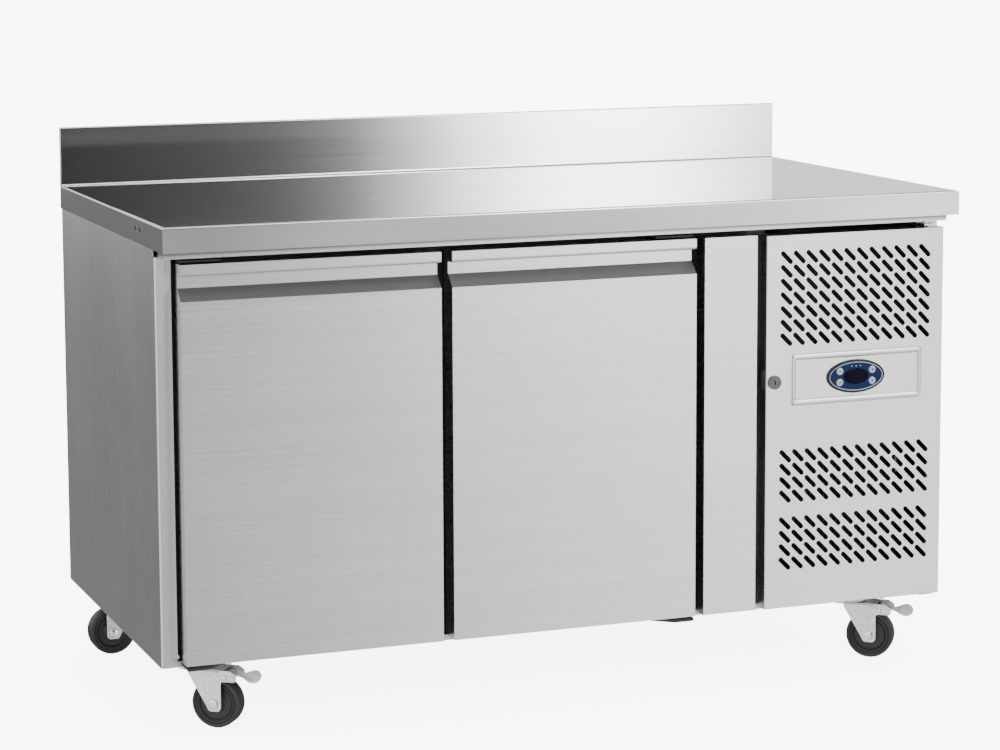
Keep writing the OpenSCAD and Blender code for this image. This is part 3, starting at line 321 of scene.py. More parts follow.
def bevel(obj, width_mm, segments=2):
    """Rounds the sharp edges of a piece or a CAD node with a modifier."""
    mod = obj.modifiers.new("edges", "BEVEL")
    mod.width = width_mm * MM
    mod.segments = segments
    mod.limit_method = "ANGLE"
    mod.angle_limit = math.radians(35)
    mod.harden_normals = True
    mod.use_clamp_overlap = True


def place_piece(obj, body, stands_for):
    """Says what a finished piece rides on and hides the CAD nodes it stands for."""
    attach(obj, body)
    if stands_for:
        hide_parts(*stands_for)
    return obj


def piece(name, bm, mat, body, stands_for=(), angle=32, matrix=TO_METRES):
    """Turns a mesh drawn in millimetres into a piece of the object."""
    mesh = bpy.data.meshes.new(name)
    bmesh.ops.recalc_face_normals(bm, faces=bm.faces)
    bm.transform(matrix)
    bm.to_mesh(mesh)
    bm.free()
    obj = bpy.data.objects.new(name, mesh)
    bpy.context.scene.collection.objects.link(obj)
    obj.data.materials.append(LOOKS[mat])
    smooth_by_angle(obj, angle)
    return place_piece(obj, body, stands_for)


def pierced_sheet(name, loops, half, lip, mat, body, stands_for, matrix):
    """A flat sheet with holes: half its thickness to each side, with a rounded lip at every edge."""
    curve = bpy.data.curves.new(name, "CURVE")
    curve.dimensions = "2D"
    curve.fill_mode = "BOTH"
    curve.extrude = half - lip
    curve.bevel_depth = lip
    curve.bevel_resolution = 1
    curve.offset = -lip
    for loop in loops:
        spline = curve.splines.new("POLY")
        spline.points.add(len(loop) - 1)
        for point, (x, y) in zip(spline.points, loop):
            point.co = (x, y, 0, 1)
        spline.use_cyclic_u = True
    obj = bpy.data.objects.new(name, curve)
    bpy.context.scene.collection.objects.link(obj)
    obj.matrix_world = matrix
    curve.materials.append(LOOKS[mat])
    return place_piece(obj, body, stands_for)


def skin(bm, rings, caps=True):
    """Skins a list of equally long closed rings of vertices."""
    n = len(rings[0])
    for a, b in zip(rings, rings[1:]):
        for i in range(n):
            j = (i + 1) % n
            bm.faces.new((a[i], a[j], b[j], b[i]))
    if caps:
        bm.faces.new(list(reversed(rings[0])))
        bm.faces.new(rings[-1])


def lathe(bm, profile, steps=64, centre=(0, 0, 0), closed=True):
    """Turns (radius, height) points about Z. A closed profile makes a ring with a bore."""
    rings = []
    for r, z in profile:
        angles = [2 * math.pi * i / steps for i in range(steps)]
        rings.append([bm.verts.new((centre[0] + r * math.cos(a), centre[1] + r * math.sin(a), centre[2] + z))
                      for a in angles])
    if closed:
        rings.append(rings[0])
    skin(bm, rings, not closed)


def slab(bm, outline, z0, z1):
    """Extrudes an (x, y) outline between two heights."""
    skin(bm, [[bm.verts.new((x, y, z)) for x, y in outline] for z in (z0, z1)])


def hexagon(bm, levels, centre=(0, 0), turn=0.0):
    """Stacks hexagons of the given (radius, height)."""
    angles = [math.pi * k / 3 + turn for k in range(6)]
    skin(bm, [[bm.verts.new((centre[0] + r * math.cos(a), centre[1] + r * math.sin(a), h)) for a in angles]
              for r, h in levels])


def mirrored(half, middle=()):
    """A lathe profile that is the same above and below height 0, from its lower half."""
    return half + list(middle) + [(r, -h) for r, h in reversed(half)]


def rectangle(x0, y0, x1, y1):
    return [(x0, y0), (x1, y0), (x1, y1), (x0, y1)]


def oval(rx, ry, steps=96, centre=(0, 0)):
    angles = [2 * math.pi * i / steps for i in range(steps)]
    return [(centre[0] + rx * math.cos(a), centre[1] + ry * math.sin(a)) for a in angles]


def rounded_outline(points, radius, steps=5):
    """Rounds every corner of a polygon. radius is one number or one per corner."""
    out = []
    n = len(points)
    for i in range(n):
        p0, p1, p2 = Vector(points[i - 1]), Vector(points[i]), Vector(points[(i + 1) % n])
        r = radius[i] if isinstance(radius, (list, tuple)) else radius
        a, b = (p0 - p1).normalized(), (p2 - p1).normalized()
        angle = a.angle(b)
        if r <= 0 or angle > math.pi - 0.02:
            out.append(tuple(p1))
            continue
        cut = min(r / math.tan(angle / 2), (p0 - p1).length * 0.48, (p2 - p1).length * 0.48)
        r_now = cut * math.tan(angle / 2)
        centre = p1 + (a + b).normalized() * (r_now / math.sin(angle / 2))
        start, end = p1 + a * cut, p1 + b * cut
        a0 = math.atan2(start.y - centre.y, start.x - centre.x)
        a1 = math.atan2(end.y - centre.y, end.x - centre.x)
        turn = (a1 - a0 + math.pi) % (2 * math.pi) - math.pi
        for k in range(steps + 1):
            t = a0 + turn * k / steps
            out.append((centre.x + r_now * math.cos(t), centre.y + r_now * math.sin(t)))
    return out


# ---- CAD nodes: looks and folded-edge rounding ----

EDGE_MM = {
    "subtop_panel": 0.5, "filler_panel": 0.9, "left_door_skin": 0.9, "right_door_skin": 0.9,
    "left_door_liner": 1.5, "right_door_liner": 1.5, "left_door_gasket": 1.2, "right_door_gasket": 1.2,
    "door_frame": 0.6, "centre_mullion": 0.8, "machine_partition": 0.3, "unit_tray": 0.4,
    "condenser_shroud": 0.4, "evaporator_cover": 0.5, "drip_tray": 0.3, "electrical_box": 1.2,
    "door_hinge_brackets": 0.8,
    "panel_hinge_brackets": 0.6, "base_panel": 0.4, "cable_gland": 0.8, "lock_barrel": 0.6, "lock_plug": 0.3,
    "inner_liner": 0.4,
}
STRIKE_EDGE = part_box("filler_panel")[1].x - 9 * MM


def under_handle(centre, normal):
    return normal.z > 0.5 and normal.y < -0.5


def on_strike(centre, normal):
    return centre.x > STRIKE_EDGE


def faces_left(centre, normal):
    return normal.x < -0.5


def faces_front(centre, normal):
    return normal.y < -0.5


# Nodes with a second look on some of their faces: painted shade on the recess of the handles, and darkened sheet
# as painted shade on the strike of the lock and on the inner faces of the machine compartment
SECOND_LOOK = {
    "left_door_skin": ("steel_shade", under_handle), "right_door_skin": ("steel_shade", under_handle),
    "filler_panel": ("galvanised_painted_shade", on_strike), "right_side_panel": ("galvanised_painted_shade", faces_left),
    "rear_panel": ("galvanised_painted_shade", faces_front),
}


def dress_node(name, obj):
    obj.data.materials.clear()
    obj.data.materials.append(LOOKS[OWN_LOOK.get(name, SLOT_LOOK[SLOT_OF[name]])])
    for poly in obj.data.polygons:
        poly.material_index = 0
    if name in SECOND_LOOK:
        second, chosen = SECOND_LOOK[name]
        obj.data.materials.append(LOOKS[second])
        for poly in obj.data.polygons:
            if chosen(obj.matrix_world @ poly.center, poly.normal):
                poly.material_index = 1
    if name in EDGE_MM:
        bevel(obj, EDGE_MM[name])


for node_name, node_obj in NODES.items():
    dress_node(node_name, node_obj)


# ---- Cove between worktop and upstand, rivets on the left return of the worktop ----

COVE_RADIUS = 3.0
COVE_SINK = 0.3
COVE_END = 0.2
RIVET_PLACES = (140.0, 168.0)
RIVET_DROP = 17.0
RIVET_PROFILE = [(0.4, -0.3), (3.4, -0.3), (3.4, 0.3), (2.4, 0.8), (0.4, 0.9)]


def upstand_cove():
    """A small fillet along the foot of the upstand, sunk a little into both sheets."""
    top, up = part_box("worktop"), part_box("upstand")
    face_y, level = up[0].y / MM, top[1].z / MM
    reach, sink = COVE_RADIUS, COVE_SINK
    arc = [math.radians(15 * k) for k in range(1, 6)]
    section = [(reach + 0.4, -sink), (reach, 0.0)]
    section += [(reach - reach * math.sin(a), reach - reach * math.cos(a)) for a in arc]
    section += [(0.0, reach), (-sink, reach + 0.4), (-sink, -sink)]
    bm = bmesh.new()
    skin(bm, [[bm.verts.new((x, face_y - d, level + h)) for d, h in section]
              for x in (up[0].x / MM + COVE_END, up[1].x / MM - COVE_END)])
    piece("upstand_cove", bm, "steel_back", "cabinet", (), 50)


def worktop_rivets():
    """Two rivet heads that face left: local X runs back, local Y up and local Z to the left."""
    low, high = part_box("worktop")
    bm = bmesh.new()
    for distance in RIVET_PLACES:
        lathe(bm, RIVET_PROFILE, 24, (distance, -RIVET_DROP, 0))
    place = Matrix(((0, 0, -1, low.x), (1, 0, 0, low.y), (0, 1, 0, high.z), (0, 0, 0, 1))) @ TO_METRES
    piece("worktop_rivets", bm, "black_paint", "cabinet", (), 32, place)


upstand_cove()
worktop_rivets()


# ---- Machine panel: pressed sheet with slots, folded edges and bead ----

PANEL_SHEET = 1.0
PANEL_LIP = 0.15
PANEL_BEND = 1.2
PANEL_DEPTH = 30.0
PANEL_RETURN = 12.0
SLOT_LENGTH, SLOT_WIDTH = 28, 8
SLOT_COLUMNS = 12
SLOT_FIRST_X = 36.4
SLOT_PITCH_X, SLOT_PITCH_Z = 23.2, 22.6
# (height of the lowest row, number of rows) of the three fields
SLOT_FIELDS = ((569.4, 7), (307, 4), (194, 4))
# Limits of the bead: from the left edge of the panel, and heights over the floor
BEAD_X = (43.5, 288.5)
BEAD_Z = (458.0, 544.6)
BEAD_CORNER = 7.0
# (distance from its outer edge, height over the panel) across the bead
BEAD_SECTION = [(0, -0.3), (0.5, 0.3), (1.5, 1.4), (2.8, 2.3), (4.2, 2.6), (6.6, 2.6), (8.0, 2.3), (9.4, 1.4),
                (10.5, 0.3), (11, -0.3)]
CONTROLLER_HOLE = (50, 24.5)
# How far the controller stands out of the panel
CONTROLLER_STANDS = 4
LOCK_HOLE = 9.3
LOCK_FACE_RADIUS = 7
BUSH_WIDTH, BUSH_HEIGHT = 25, 14


def front_matrix(x, y, z):
    """Places a drawing in millimetres: local X to the right, local Y up, local Z towards the front."""
    return Matrix.Translation((x, y, z)) @ UPRIGHT @ TO_METRES


def slot_outline(cx, cz, steps=8):
    """One slot with round ends, slanting down to the right."""
    r, half = SLOT_WIDTH / 2, (SLOT_LENGTH - SLOT_WIDTH) / 2
    turn = math.radians(-45)
    pts = []
    for side in (1, -1):
        for i in range(steps + 1):
            a = math.radians(-90 * side) + math.pi * i / steps
            x, z = side * half + r * math.cos(a), r * math.sin(a)
            pts.append((cx + x * math.cos(turn) - z * math.sin(turn),
                        cz + x * math.sin(turn) + z * math.cos(turn)))
    return pts


def panel_sheet(x0, z0, x1, z1, front_y):
    ctl_lo, ctl_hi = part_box("controller_housing")
    lock_lo, lock_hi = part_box("lock_plug")
    inset = PANEL_BEND - 0.2
    hole = ((ctl_lo.x + ctl_hi.x) / 2 / MM, (ctl_lo.z + ctl_hi.z) / 2 / MM)
    lock = ((lock_lo.x + lock_hi.x) / 2 / MM, lock_hi.z / MM - LOCK_FACE_RADIUS)
    loops = [rectangle(x0 + inset, z0 + inset, x1 - inset, z1 - inset)]
    loops.append(oval(*CONTROLLER_HOLE, centre=hole))
    loops.append(oval(LOCK_HOLE, LOCK_HOLE, 32, lock))
    rows = [first + i * SLOT_PITCH_Z for first, count in SLOT_FIELDS for i in range(count)]
    columns = [x0 + SLOT_FIRST_X + c * SLOT_PITCH_X for c in range(SLOT_COLUMNS)]
    loops += [slot_outline(x, z) for x in columns for z in rows]
    pierced_sheet("machine_panel_sheet", loops, PANEL_SHEET / 2, PANEL_LIP, "steel_x", "machine_door",
                  ("machine_panel",), front_matrix(0, (front_y + PANEL_SHEET / 2) * MM, 0))


def machine_panel():
    lo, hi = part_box("machine_panel")
    x0, x1, z0, z1 = lo.x / MM, hi.x / MM, lo.z / MM, hi.z / MM
    front_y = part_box("controller_housing")[0].y / MM + CONTROLLER_STANDS
    place = front_matrix(0, front_y * MM, 0)
    panel_sheet(x0, z0, x1, z1, front_y)

    # folded edges with an inward return, as (distance inwards, height) round the panel
    bend, sheet, back = PANEL_BEND, PANEL_SHEET, -PANEL_DEPTH
    section = [(bend - bend * math.sin(t), bend * math.cos(t) - bend) for t in
               (math.radians(18 * k) for k in range(6))]
    section += [(0, back), (PANEL_RETURN, back), (PANEL_RETURN, back + sheet), (sheet, back + sheet),
                (sheet, -1.2), (bend, -0.9)]
    bm = bmesh.new()
    rings = [[bm.verts.new((x, z, h)) for x, z in rectangle(x0 + i, z0 + i, x1 - i, z1 - i)]
             for i, h in section]
    skin(bm, rings + rings[:1], False)
    piece("machine_panel_folds", bm, "steel_x", "machine_door", ("machine_panel",), 32, place)

    # pressed bead round the controller
    bx0, bx1 = x0 + BEAD_X[0], x0 + BEAD_X[1]
    bz0, bz1 = BEAD_Z
    bm = bmesh.new()
    rings = []
    for i, h in BEAD_SECTION:
        corners = rectangle(bx0 + i, bz0 + i, bx1 - i, bz1 - i)
        outline = rounded_outline(corners, max(2.0, BEAD_CORNER - i * 0.5), 6)
        rings.append([bm.verts.new((x, z, h)) for x, z in outline])
    skin(bm, rings + rings[:1], False)
    piece("machine_panel_bead", bm, "steel_x", "machine_door", ("machine_panel",), 60, place)

    # hinge bushes behind the two right corners
    swap_yz = Matrix(((1, 0, 0, 0), (0, 0, 1, 0), (0, 1, 0, 0), (0, 0, 0, 1)))
    edge = x1 - sheet
    for tag, z in (("top", z1 - sheet - BUSH_HEIGHT), ("bottom", z0 + sheet)):
        bm = bmesh.new()
        outline = rectangle(edge - BUSH_WIDTH, -sheet - BUSH_HEIGHT, edge, -sheet)
        slab(bm, rounded_outline(outline, 1.5, 3), 0, BUSH_HEIGHT)
        bm.transform(Matrix.Translation((0, z, 0)) @ swap_yz)
        piece("machine_panel_bush_" + tag, bm, "black", "machine_door", ("machine_panel",), 32,
              place)


machine_panel()


# ---- Controller ----

# Profiles as (distance in from the outer oval of the housing, height over the panel)
RIM_PROFILE = [(4.2, -24), (4.2, 0.05), (0, 0.05), (0, 1.8), (0.5, 3.0), (1.5, 3.8), (2.6, 4.0), (3.4, 3.8),
               (3.9, 3.2), (3.9, 0.6), (7.2, 0.6), (7.2, -22)]
BACK_PROFILE = [(7.0, -24.0), (5.4, -23.6), (5.0, -22.8), (5.0, -21.6), (7.0, -21.6)]
RING_PROFILE = [(3.95, 2.4), (3.95, 3.1), (4.2, 3.4), (5.0, 3.4), (5.3, 3.1), (5.3, 2.4)]
# Levels of the display, as (half width, half height, height over the panel)
DISPLAY_LEVELS = [(22.8, 13.4, 2.3), (22.8, 13.4, 2.75), (22.2, 12.9, 3.0), (19, 11, 3.15), (12, 7, 3.3),
                  (4, 2, 3.35)]
OVERLAY_INSET = 5.5
OVERLAY_HALF = 0.9
OVERLAY_HEIGHT = 1.7
BUTTON_HOLE = 6.5
# Button caps and lamps, as (radius, height)
CAP_PROFILE = [(6.6, -1.5), (6.6, 0.1), (6.15, 0.3), (6.15, 3.1), (5.85, 3.6), (5.2, 3.9), (3.5, 4.0),
               (1.0, 4.0)]
MARK_HEIGHTS = (3.9, 4.15)
LAMP_PROFILE = [(1.2, 0), (1.2, 0.25), (0.9, 0.4), (0.3, 0.45)]
LAMP_PLACES = (-8, 0, 8)
LAMP_RISE, LAMP_SEAT = 17.2, 2.5


def oval_rings(bm, levels, closed=False):
    rings = [[bm.verts.new((x, z, h)) for x, z in oval(rx, rz)] for rx, rz, h in levels]
    skin(bm, rings + rings[:1] if closed else rings, not closed)


def mark_outline(tag, sx, sz):
    """Generic symbols: a dot on the right buttons, an arrow up or down on the left ones."""
    if "right" in tag:
        return oval(2.2, 2.2, 24, (sx, sz))
    up = 1 if "upper" in tag else -1
    return [(sx - 2.4, sz - 1.3 * up), (sx + 2.4, sz - 1.3 * up), (sx, sz + 2.2 * up)]


def controller():
    lo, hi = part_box("controller_housing")
    cx, cz = (lo.x + hi.x) / 2, (lo.z + hi.z) / 2
    rx, rz = (hi.x - lo.x) / 2 / MM, (hi.z - lo.z) / 2 / MM
    place = front_matrix(cx, lo.y + CONTROLLER_STANDS * MM, cz)
    spots = {}
    for tag in ("upper_left", "lower_left", "upper_right", "lower_right"):
        b_lo, b_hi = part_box("button_" + tag)
        spots[tag] = (((b_lo.x + b_hi.x) / 2 - cx) / MM, ((b_lo.z + b_hi.z) / 2 - cz) / MM)

    for name, profile, closed, mat, slot, angle in (
            ("controller_rim", RIM_PROFILE, True, "black", "black_plastic", 40),
            ("controller_back", BACK_PROFILE, False, "black", "black_plastic", 40),
            ("controller_ring", RING_PROFILE, True, "pearl", None, 60)):
        bm = bmesh.new()
        oval_rings(bm, [(rx - i, rz - i, h) for i, h in profile], closed)
        piece(name, bm, mat, "machine_door", ("controller_housing",), angle, place)

    loops = [oval(rx - OVERLAY_INSET, rz - OVERLAY_INSET)]
    loops += [oval(BUTTON_HOLE, BUTTON_HOLE, 32, spot) for spot in spots.values()]
    pierced_sheet("controller_overlay", loops, OVERLAY_HALF, 0.0, "navy", "machine_door",
                  ("controller_face",), place @ Matrix.Translation((0, 0, OVERLAY_HEIGHT)))
    bm = bmesh.new()
    oval_rings(bm, DISPLAY_LEVELS)
    piece("controller_display", bm, "display", "machine_door", ("controller_face",), 60,
          place)
    for i, x in enumerate(LAMP_PLACES):
        bm = bmesh.new()
        lathe(bm, LAMP_PROFILE, 20, (x, LAMP_RISE, LAMP_SEAT), False)
        piece("controller_lamp_%d" % i, bm, "print", "machine_door", ("controller_face",), 60, place)

    for tag, (sx, sz) in spots.items():
        button = "button_" + tag
        bm = bmesh.new()
        lathe(bm, CAP_PROFILE, 40, (sx, sz, 0), False)
        piece("button_cap_" + tag, bm, "pearl", button, (button,), 40, place)
        bm = bmesh.new()
        slab(bm, mark_outline(tag, sx, sz), *MARK_HEIGHTS)
        piece("button_mark_" + tag, bm, "icon", button, (), 40, place)


controller()


# ---- Casters ----
# Drawn at the swivel axis: u runs from it towards the axle, v sideways, and heights count from the floor.

BRAKED = {"front_left": True, "front_right": True, "rear_left": False, "rear_right": False}
PLATE_HALF = (47, 38)
PLATE_HEIGHTS = (107, 109.95)
BOLT_PLACES = [(x, y) for x in (-38, 38) for y in (-29, 29)]
# Profiles of turned and hexagonal parts round an upright axis, as (radius, height)
WASHER_PROFILE = [(7.5, 105.8), (7.5, 107), (0.5, 107), (0.5, 105.8)]
BOLT_HEAD = ((5.8, 102.2), (5.8, 105.8))
BOLT_CHAMFER = ((4.6, 101.6), (5.8, 102.2))
RACE_PROFILE = [(6, 96.6), (21.5, 96.6), (23.2, 97.2), (24, 98.6), (24, 100.2), (22.2, 101.2),
                (22.2, 102.4), (24.4, 103.4), (25.4, 105.2), (27.5, 107), (6, 107)]
KINGPIN_PROFILE = [(0.5, 87.6), (4.5, 87.6), (6, 88.4), (6, 97), (0.5, 97)]
KINGPIN_NUT = ((8.2, 87.5), (9.0, 88.1), (9.0, 90.6))
FORK_OUTER, FORK_SHEET = 20.0, 2.5
COLLAR_PROFILE = [(6.05, 91), (6.05, 96), (9, 96), (9, 91)]
CROWN_OUTLINE = [(-34, -FORK_OUTER), (42, -FORK_OUTER), (42, FORK_OUTER), (-34, FORK_OUTER)]
CROWN_UNDER, CROWN_TOP, CROWN_RISE = 92.2, 95.6, 95.9
CROWN_BORE = 8.6
# Side plate of the fork, as (u, height): a leg down to the axle, and on braked casters an arm for the pedal
FORK_LEG = [(-14, 95.5), (-13.5, 88), (17.5, 36), (21, 28.2), (38.5, 28.2), (42, 34)]
LEG_RADII = [2, 6, 5, 7, 6, 6]
BRAKED_ARM = [(42, 77), (66, 77), (69, 88), (58, 95.5)]
BRAKED_ARM_RADII = [4, 5, 6, 4]
PLAIN_ARM = [(42, 95.5)]
PLAIN_ARM_RADII = [2.64]
# Profiles of turned parts round the axle, the pedal pivot and the rivets, as (radius, distance sideways)
AXLE_PROFILE = [(0.4, -24.2), (5.6, -24.2), (7.2, -23.2), (7.6, -21.4), (7.6, -20), (5, -20), (5, 20),
                (7.6, 20), (7.6, 21.4), (7.2, 23.2), (5.6, 24.2), (3.4, 24.2), (2.6, 23.0), (0.4, 23.0)]
PIVOT_PROFILE = mirrored([(0.3, -21.6), (3.2, -21.6), (4.2, -20.8), (4.2, -20), (3, -20)])
PIVOT_PLACE = (48, 84, 0)
FORK_RIVET = [(0.3, 20.8), (1.6, 20.8), (2.1, 20.4), (2.1, 19.8), (0.3, 19.8)]
FORK_RIVET_PLACES = ((28, 86), (36, 89))
WHEEL_PROFILE = mirrored(
    [(5.1, -16.5), (11, -16.5), (12.4, -15.6), (13.2, -12), (15.5, -10.4), (25.5, -10.0), (27.2, -11.8),
     (28.6, -13.2), (30.2, -13.2), (31.2, -12.2), (32.4, -12.4), (33.6, -14.0), (36, -15), (38.4, -14.2),
     (39.6, -12.2), (40, -9)], [(40, 0)])
# Pedal from its pivot to the tip of its paddle: (u, height, half width, half thickness, roll in degrees)
PEDAL_STATIONS = [
    (44, 86.0, 8.5, 2.2, 0), (50, 87.5, 8.0, 2.2, 0), (57, 87.4, 6.0, 2.0, 6), (63, 86.4, 4.4, 1.9, 18),
    (69, 85.0, 3.6, 1.8, 34), (74, 84.4, 4.4, 1.7, 42), (78, 84.1, 7.4, 1.6, 45), (82, 84.0, 10.0, 1.6, 45),
    (87, 84.0, 12.0, 1.6, 45), (92, 84.0, 12.6, 1.6, 45), (96, 84.0, 11.6, 1.6, 45),
    (99.5, 84.0, 8.8, 1.6, 45),
    (101.8, 84.0, 5.4, 1.5, 45), (102.8, 84.0, 2.2, 1.2, 45)]
# Section of the pressed pedal with raised rims: (share of the half width, share of the half thickness)
PEDAL_SECTION = [(-1, -1), (-1, 0.4), (-0.86, 1.2), (-0.6, 0.7), (0, 0.55), (0.6, 0.7), (0.86, 1.2), (1, 0.4),
                 (1, -1), (0.8, -0.6), (0, -0.5), (-0.8, -0.6)]
SHOE_HUB = [(3.1, -15), (6, -15), (6, 15), (3.1, 15)]
SHOE_OUTLINE = [(49, 76.5), (53, 76.5), (54, 83), (48, 83)]
SHOE_HALF = 14


def caster_plate(tag, base):
    """Top plate, race, bolts and kingpin, which belong to the cabinet."""
    node = ("caster_plates",)
    bm = bmesh.new()
    half_x, half_y = PLATE_HALF
    slab(bm, rounded_outline(rectangle(-half_x, -half_y, half_x, half_y), 7, 5), *PLATE_HEIGHTS)
    bevel(piece("caster_plate_" + tag, bm, "zinc", "cabinet", node, 32, base), 0.6)
    bm = bmesh.new()
    lathe(bm, RACE_PROFILE, 56)
    piece("caster_race_" + tag, bm, "zinc", "cabinet", node, 40, base)
    bm = bmesh.new()
    for spot in BOLT_PLACES:
        lathe(bm, WASHER_PROFILE, 24, (*spot, 0))
        hexagon(bm, BOLT_HEAD, spot, 0.3)
        hexagon(bm, BOLT_CHAMFER, spot, 0.3)
    piece("caster_bolts_" + tag, bm, "chrome", "cabinet", node, 32, base)
    bm = bmesh.new()
    lathe(bm, KINGPIN_PROFILE, 32)
    hexagon(bm, KINGPIN_NUT)
    piece("caster_kingpin_" + tag, bm, "zinc", "cabinet", node, 32, base)


def caster_fork(tag, braked, turned, axle):
    """Stamped fork: collar and crown round the kingpin, two side plates, the axle and its rivets."""
    body, node = "fork_" + tag, ("caster_fork_" + tag,)
    upright = turned @ UPRIGHT
    bm = bmesh.new()
    lathe(bm, COLLAR_PROFILE, 40)
    piece("fork_collar_" + tag, bm, "fork_zinc", body, node, 40, turned)

    bm = bmesh.new()
    crown = rounded_outline(CROWN_OUTLINE, [17, 2, 2, 17], 8)
    bore = [(CROWN_BORE * math.cos(a), CROWN_BORE * math.sin(a)) for a in
            (math.atan2(y, x - 0.001) for x, y in crown)]
    rings = [[bm.verts.new((x, y, z)) for x, y in outline] for outline, z in
             ((bore, CROWN_RISE), (crown, CROWN_TOP), (crown, CROWN_UNDER), (bore, CROWN_UNDER))]
    skin(bm, rings + rings[:1], False)
    bevel(piece("fork_crown_" + tag, bm, "fork_zinc", body, node, 40, turned), 1.2, 3)

    arm, arm_radii = (BRAKED_ARM, BRAKED_ARM_RADII) if braked else (PLAIN_ARM, PLAIN_ARM_RADII)
    outline = rounded_outline(FORK_LEG + arm, LEG_RADII + arm_radii, 6)
    for side, z in (("a", FORK_OUTER - FORK_SHEET), ("b", -FORK_OUTER)):
        bm = bmesh.new()
        slab(bm, outline, z, z + FORK_SHEET)
        bevel(piece("fork_side_%s_%s" % (side, tag), bm, "fork_zinc", body, node, 32, upright), 0.6)

    bm = bmesh.new()
    lathe(bm, AXLE_PROFILE, 36, axle)
    if braked:
        lathe(bm, PIVOT_PROFILE, 28, PIVOT_PLACE)
        for spot in FORK_RIVET_PLACES:
            for side in (-1, 1):
                lathe(bm, [(r, side * h) for r, h in FORK_RIVET], 16, (*spot, 0))
    piece("fork_axle_" + tag, bm, "chrome", body, node, 40, upright)


def brake_pedal(tag, turned):
    """Pressed pedal with a leaf-shaped paddle, and the shoe under its pivot."""
    body, node = "brake_" + tag, ("caster_brake_" + tag,)
    bm = bmesh.new()
    rings = []
    for u, z, half_w, half_t, roll in PEDAL_STATIONS:
        cos, sin = math.cos(math.radians(roll)), math.sin(math.radians(roll))
        section = [(v * half_w, h * half_t) for v, h in PEDAL_SECTION]
        rings.append([bm.verts.new((u, v * cos - h * sin, z + v * sin + h * cos)) for v, h in section])
    skin(bm, rings)
    obj = piece("brake_pedal_" + tag, bm, "pedal_zinc", body, node, 50, turned)
    sub = obj.modifiers.new("round", "SUBSURF")
    sub.levels = 1
    sub.render_levels = 1
    bm = bmesh.new()
    lathe(bm, SHOE_HUB, 32, PIVOT_PLACE)
    slab(bm, rounded_outline(SHOE_OUTLINE, 1.2, 3), -SHOE_HALF, SHOE_HALF)
    piece("brake_shoe_" + tag, bm, "fork_zinc", body, node, 32, turned @ UPRIGHT)


def caster(tag, braked):
    swivel = JOINTS["caster_swivel_" + tag]["pos_m"]
    axle = JOINTS["wheel_spin_" + tag]["pos_m"]
    along, across = axle[0] - swivel[0], axle[1] - swivel[1]
    axis = Matrix.Translation((swivel[0], swivel[1], 0))
    turned = axis @ Matrix.Rotation(math.atan2(across, along), 4, "Z") @ TO_METRES
    axle_place = (round(math.hypot(along, across) / MM, 1), round(axle[2] / MM, 1), 0)
    caster_plate(tag, axis @ TO_METRES)
    caster_fork(tag, braked, turned, axle_place)
    bm = bmesh.new()
    lathe(bm, WHEEL_PROFILE, 96, axle_place)
    piece("wheel_tyre_" + tag, bm, "tyre", "wheel_" + tag, ("caster_wheel_" + tag,), 30,
          turned @ UPRIGHT)
    if braked:
        brake_pedal(tag, turned)


for caster_tag, has_brake in BRAKED.items():
    caster(caster_tag, has_brake)


# ---- Stage, light and camera ----

# The pale room as matt surfaces see it and as the camera sees it
SOFT_LIGHT = 2.8
BACKDROP = 9.0
FLOOR_TONE = 0.93
STUDIO_STRENGTH = 8.0
# The room that metal reflects: (degrees from the front, level) above, and then below, a soft edge in height
UPPER_LIGHT = [(-180, 0.17), (-140, 0.10), (-100, 0.22), (-60, 0.32), (-28, 0.22), (-6, 0.012), (11, 0.005),
               (14.4, 0.011), (16, 0.016), (17.8, 0.026), (19.2, 0.075), (20.8, 0.42), (22.4, 0.92),
               (24, 1.0), (25.6, 0.60), (27, 0.26), (30, 0.20), (55, 0.22), (85, 0.06), (140, 0.08),
               (150, 0.17), (180, 0.17)]
LOWER_LIGHT = [(-180, 0.028), (-145, 0.028), (-115, 0.05), (-80, 0.21), (-45, 0.18), (0, 0.11), (12, 0.085),
               (15.5, 0.07), (18, 0.12), (21, 0.125), (24, 0.155), (27, 0.22), (30, 0.34), (32.5, 0.20),
               (36, 0.11), (50, 0.17), (75, 0.20), (100, 0.04), (180, 0.028)]
LIGHT_EDGE = (-0.101, -0.088)
# (height of the direction, share of the level that is left)
UPPER_BY_HEIGHT = [(-1, 1.0), (0.60, 1.0), (0.90, 0.80), (1, 0.80)]
LOWER_BY_HEIGHT = [(-1, 0.5), (-0.5, 1.0), (1, 1.0)]


def stage_floor():
    bm = bmesh.new()
    bmesh.ops.create_circle(bm, cap_ends=True, radius=40.0, segments=96)
    mesh = bpy.data.meshes.new("floor")
    bm.to_mesh(mesh)
    bm.free()
    obj = bpy.data.objects.new("floor", mesh)
    bpy.context.scene.collection.objects.link(obj)
    mat, tree, shader = new_material("pale_floor")
    shader.inputs["Base Color"].default_value = (*grey(FLOOR_TONE), 1)
    shader.inputs["Roughness"].default_value = 0.9
    shader.inputs["Specular IOR Level"].default_value = 0.1
    shader.inputs["Emission Color"].default_value = (1, 1, 1, 1)
    path = tree.nodes.new("ShaderNodeLightPath")
    lift = math_node(tree, "MULTIPLY", path.outputs["Is Camera Ray"], BACKDROP - FLOOR_TONE * SOFT_LIGHT)
    tree.links.new(lift, shader.inputs["Emission Strength"])
    obj.data.materials.append(mat)
    obj.location.z = -0.0005
    obj.visible_glossy = False


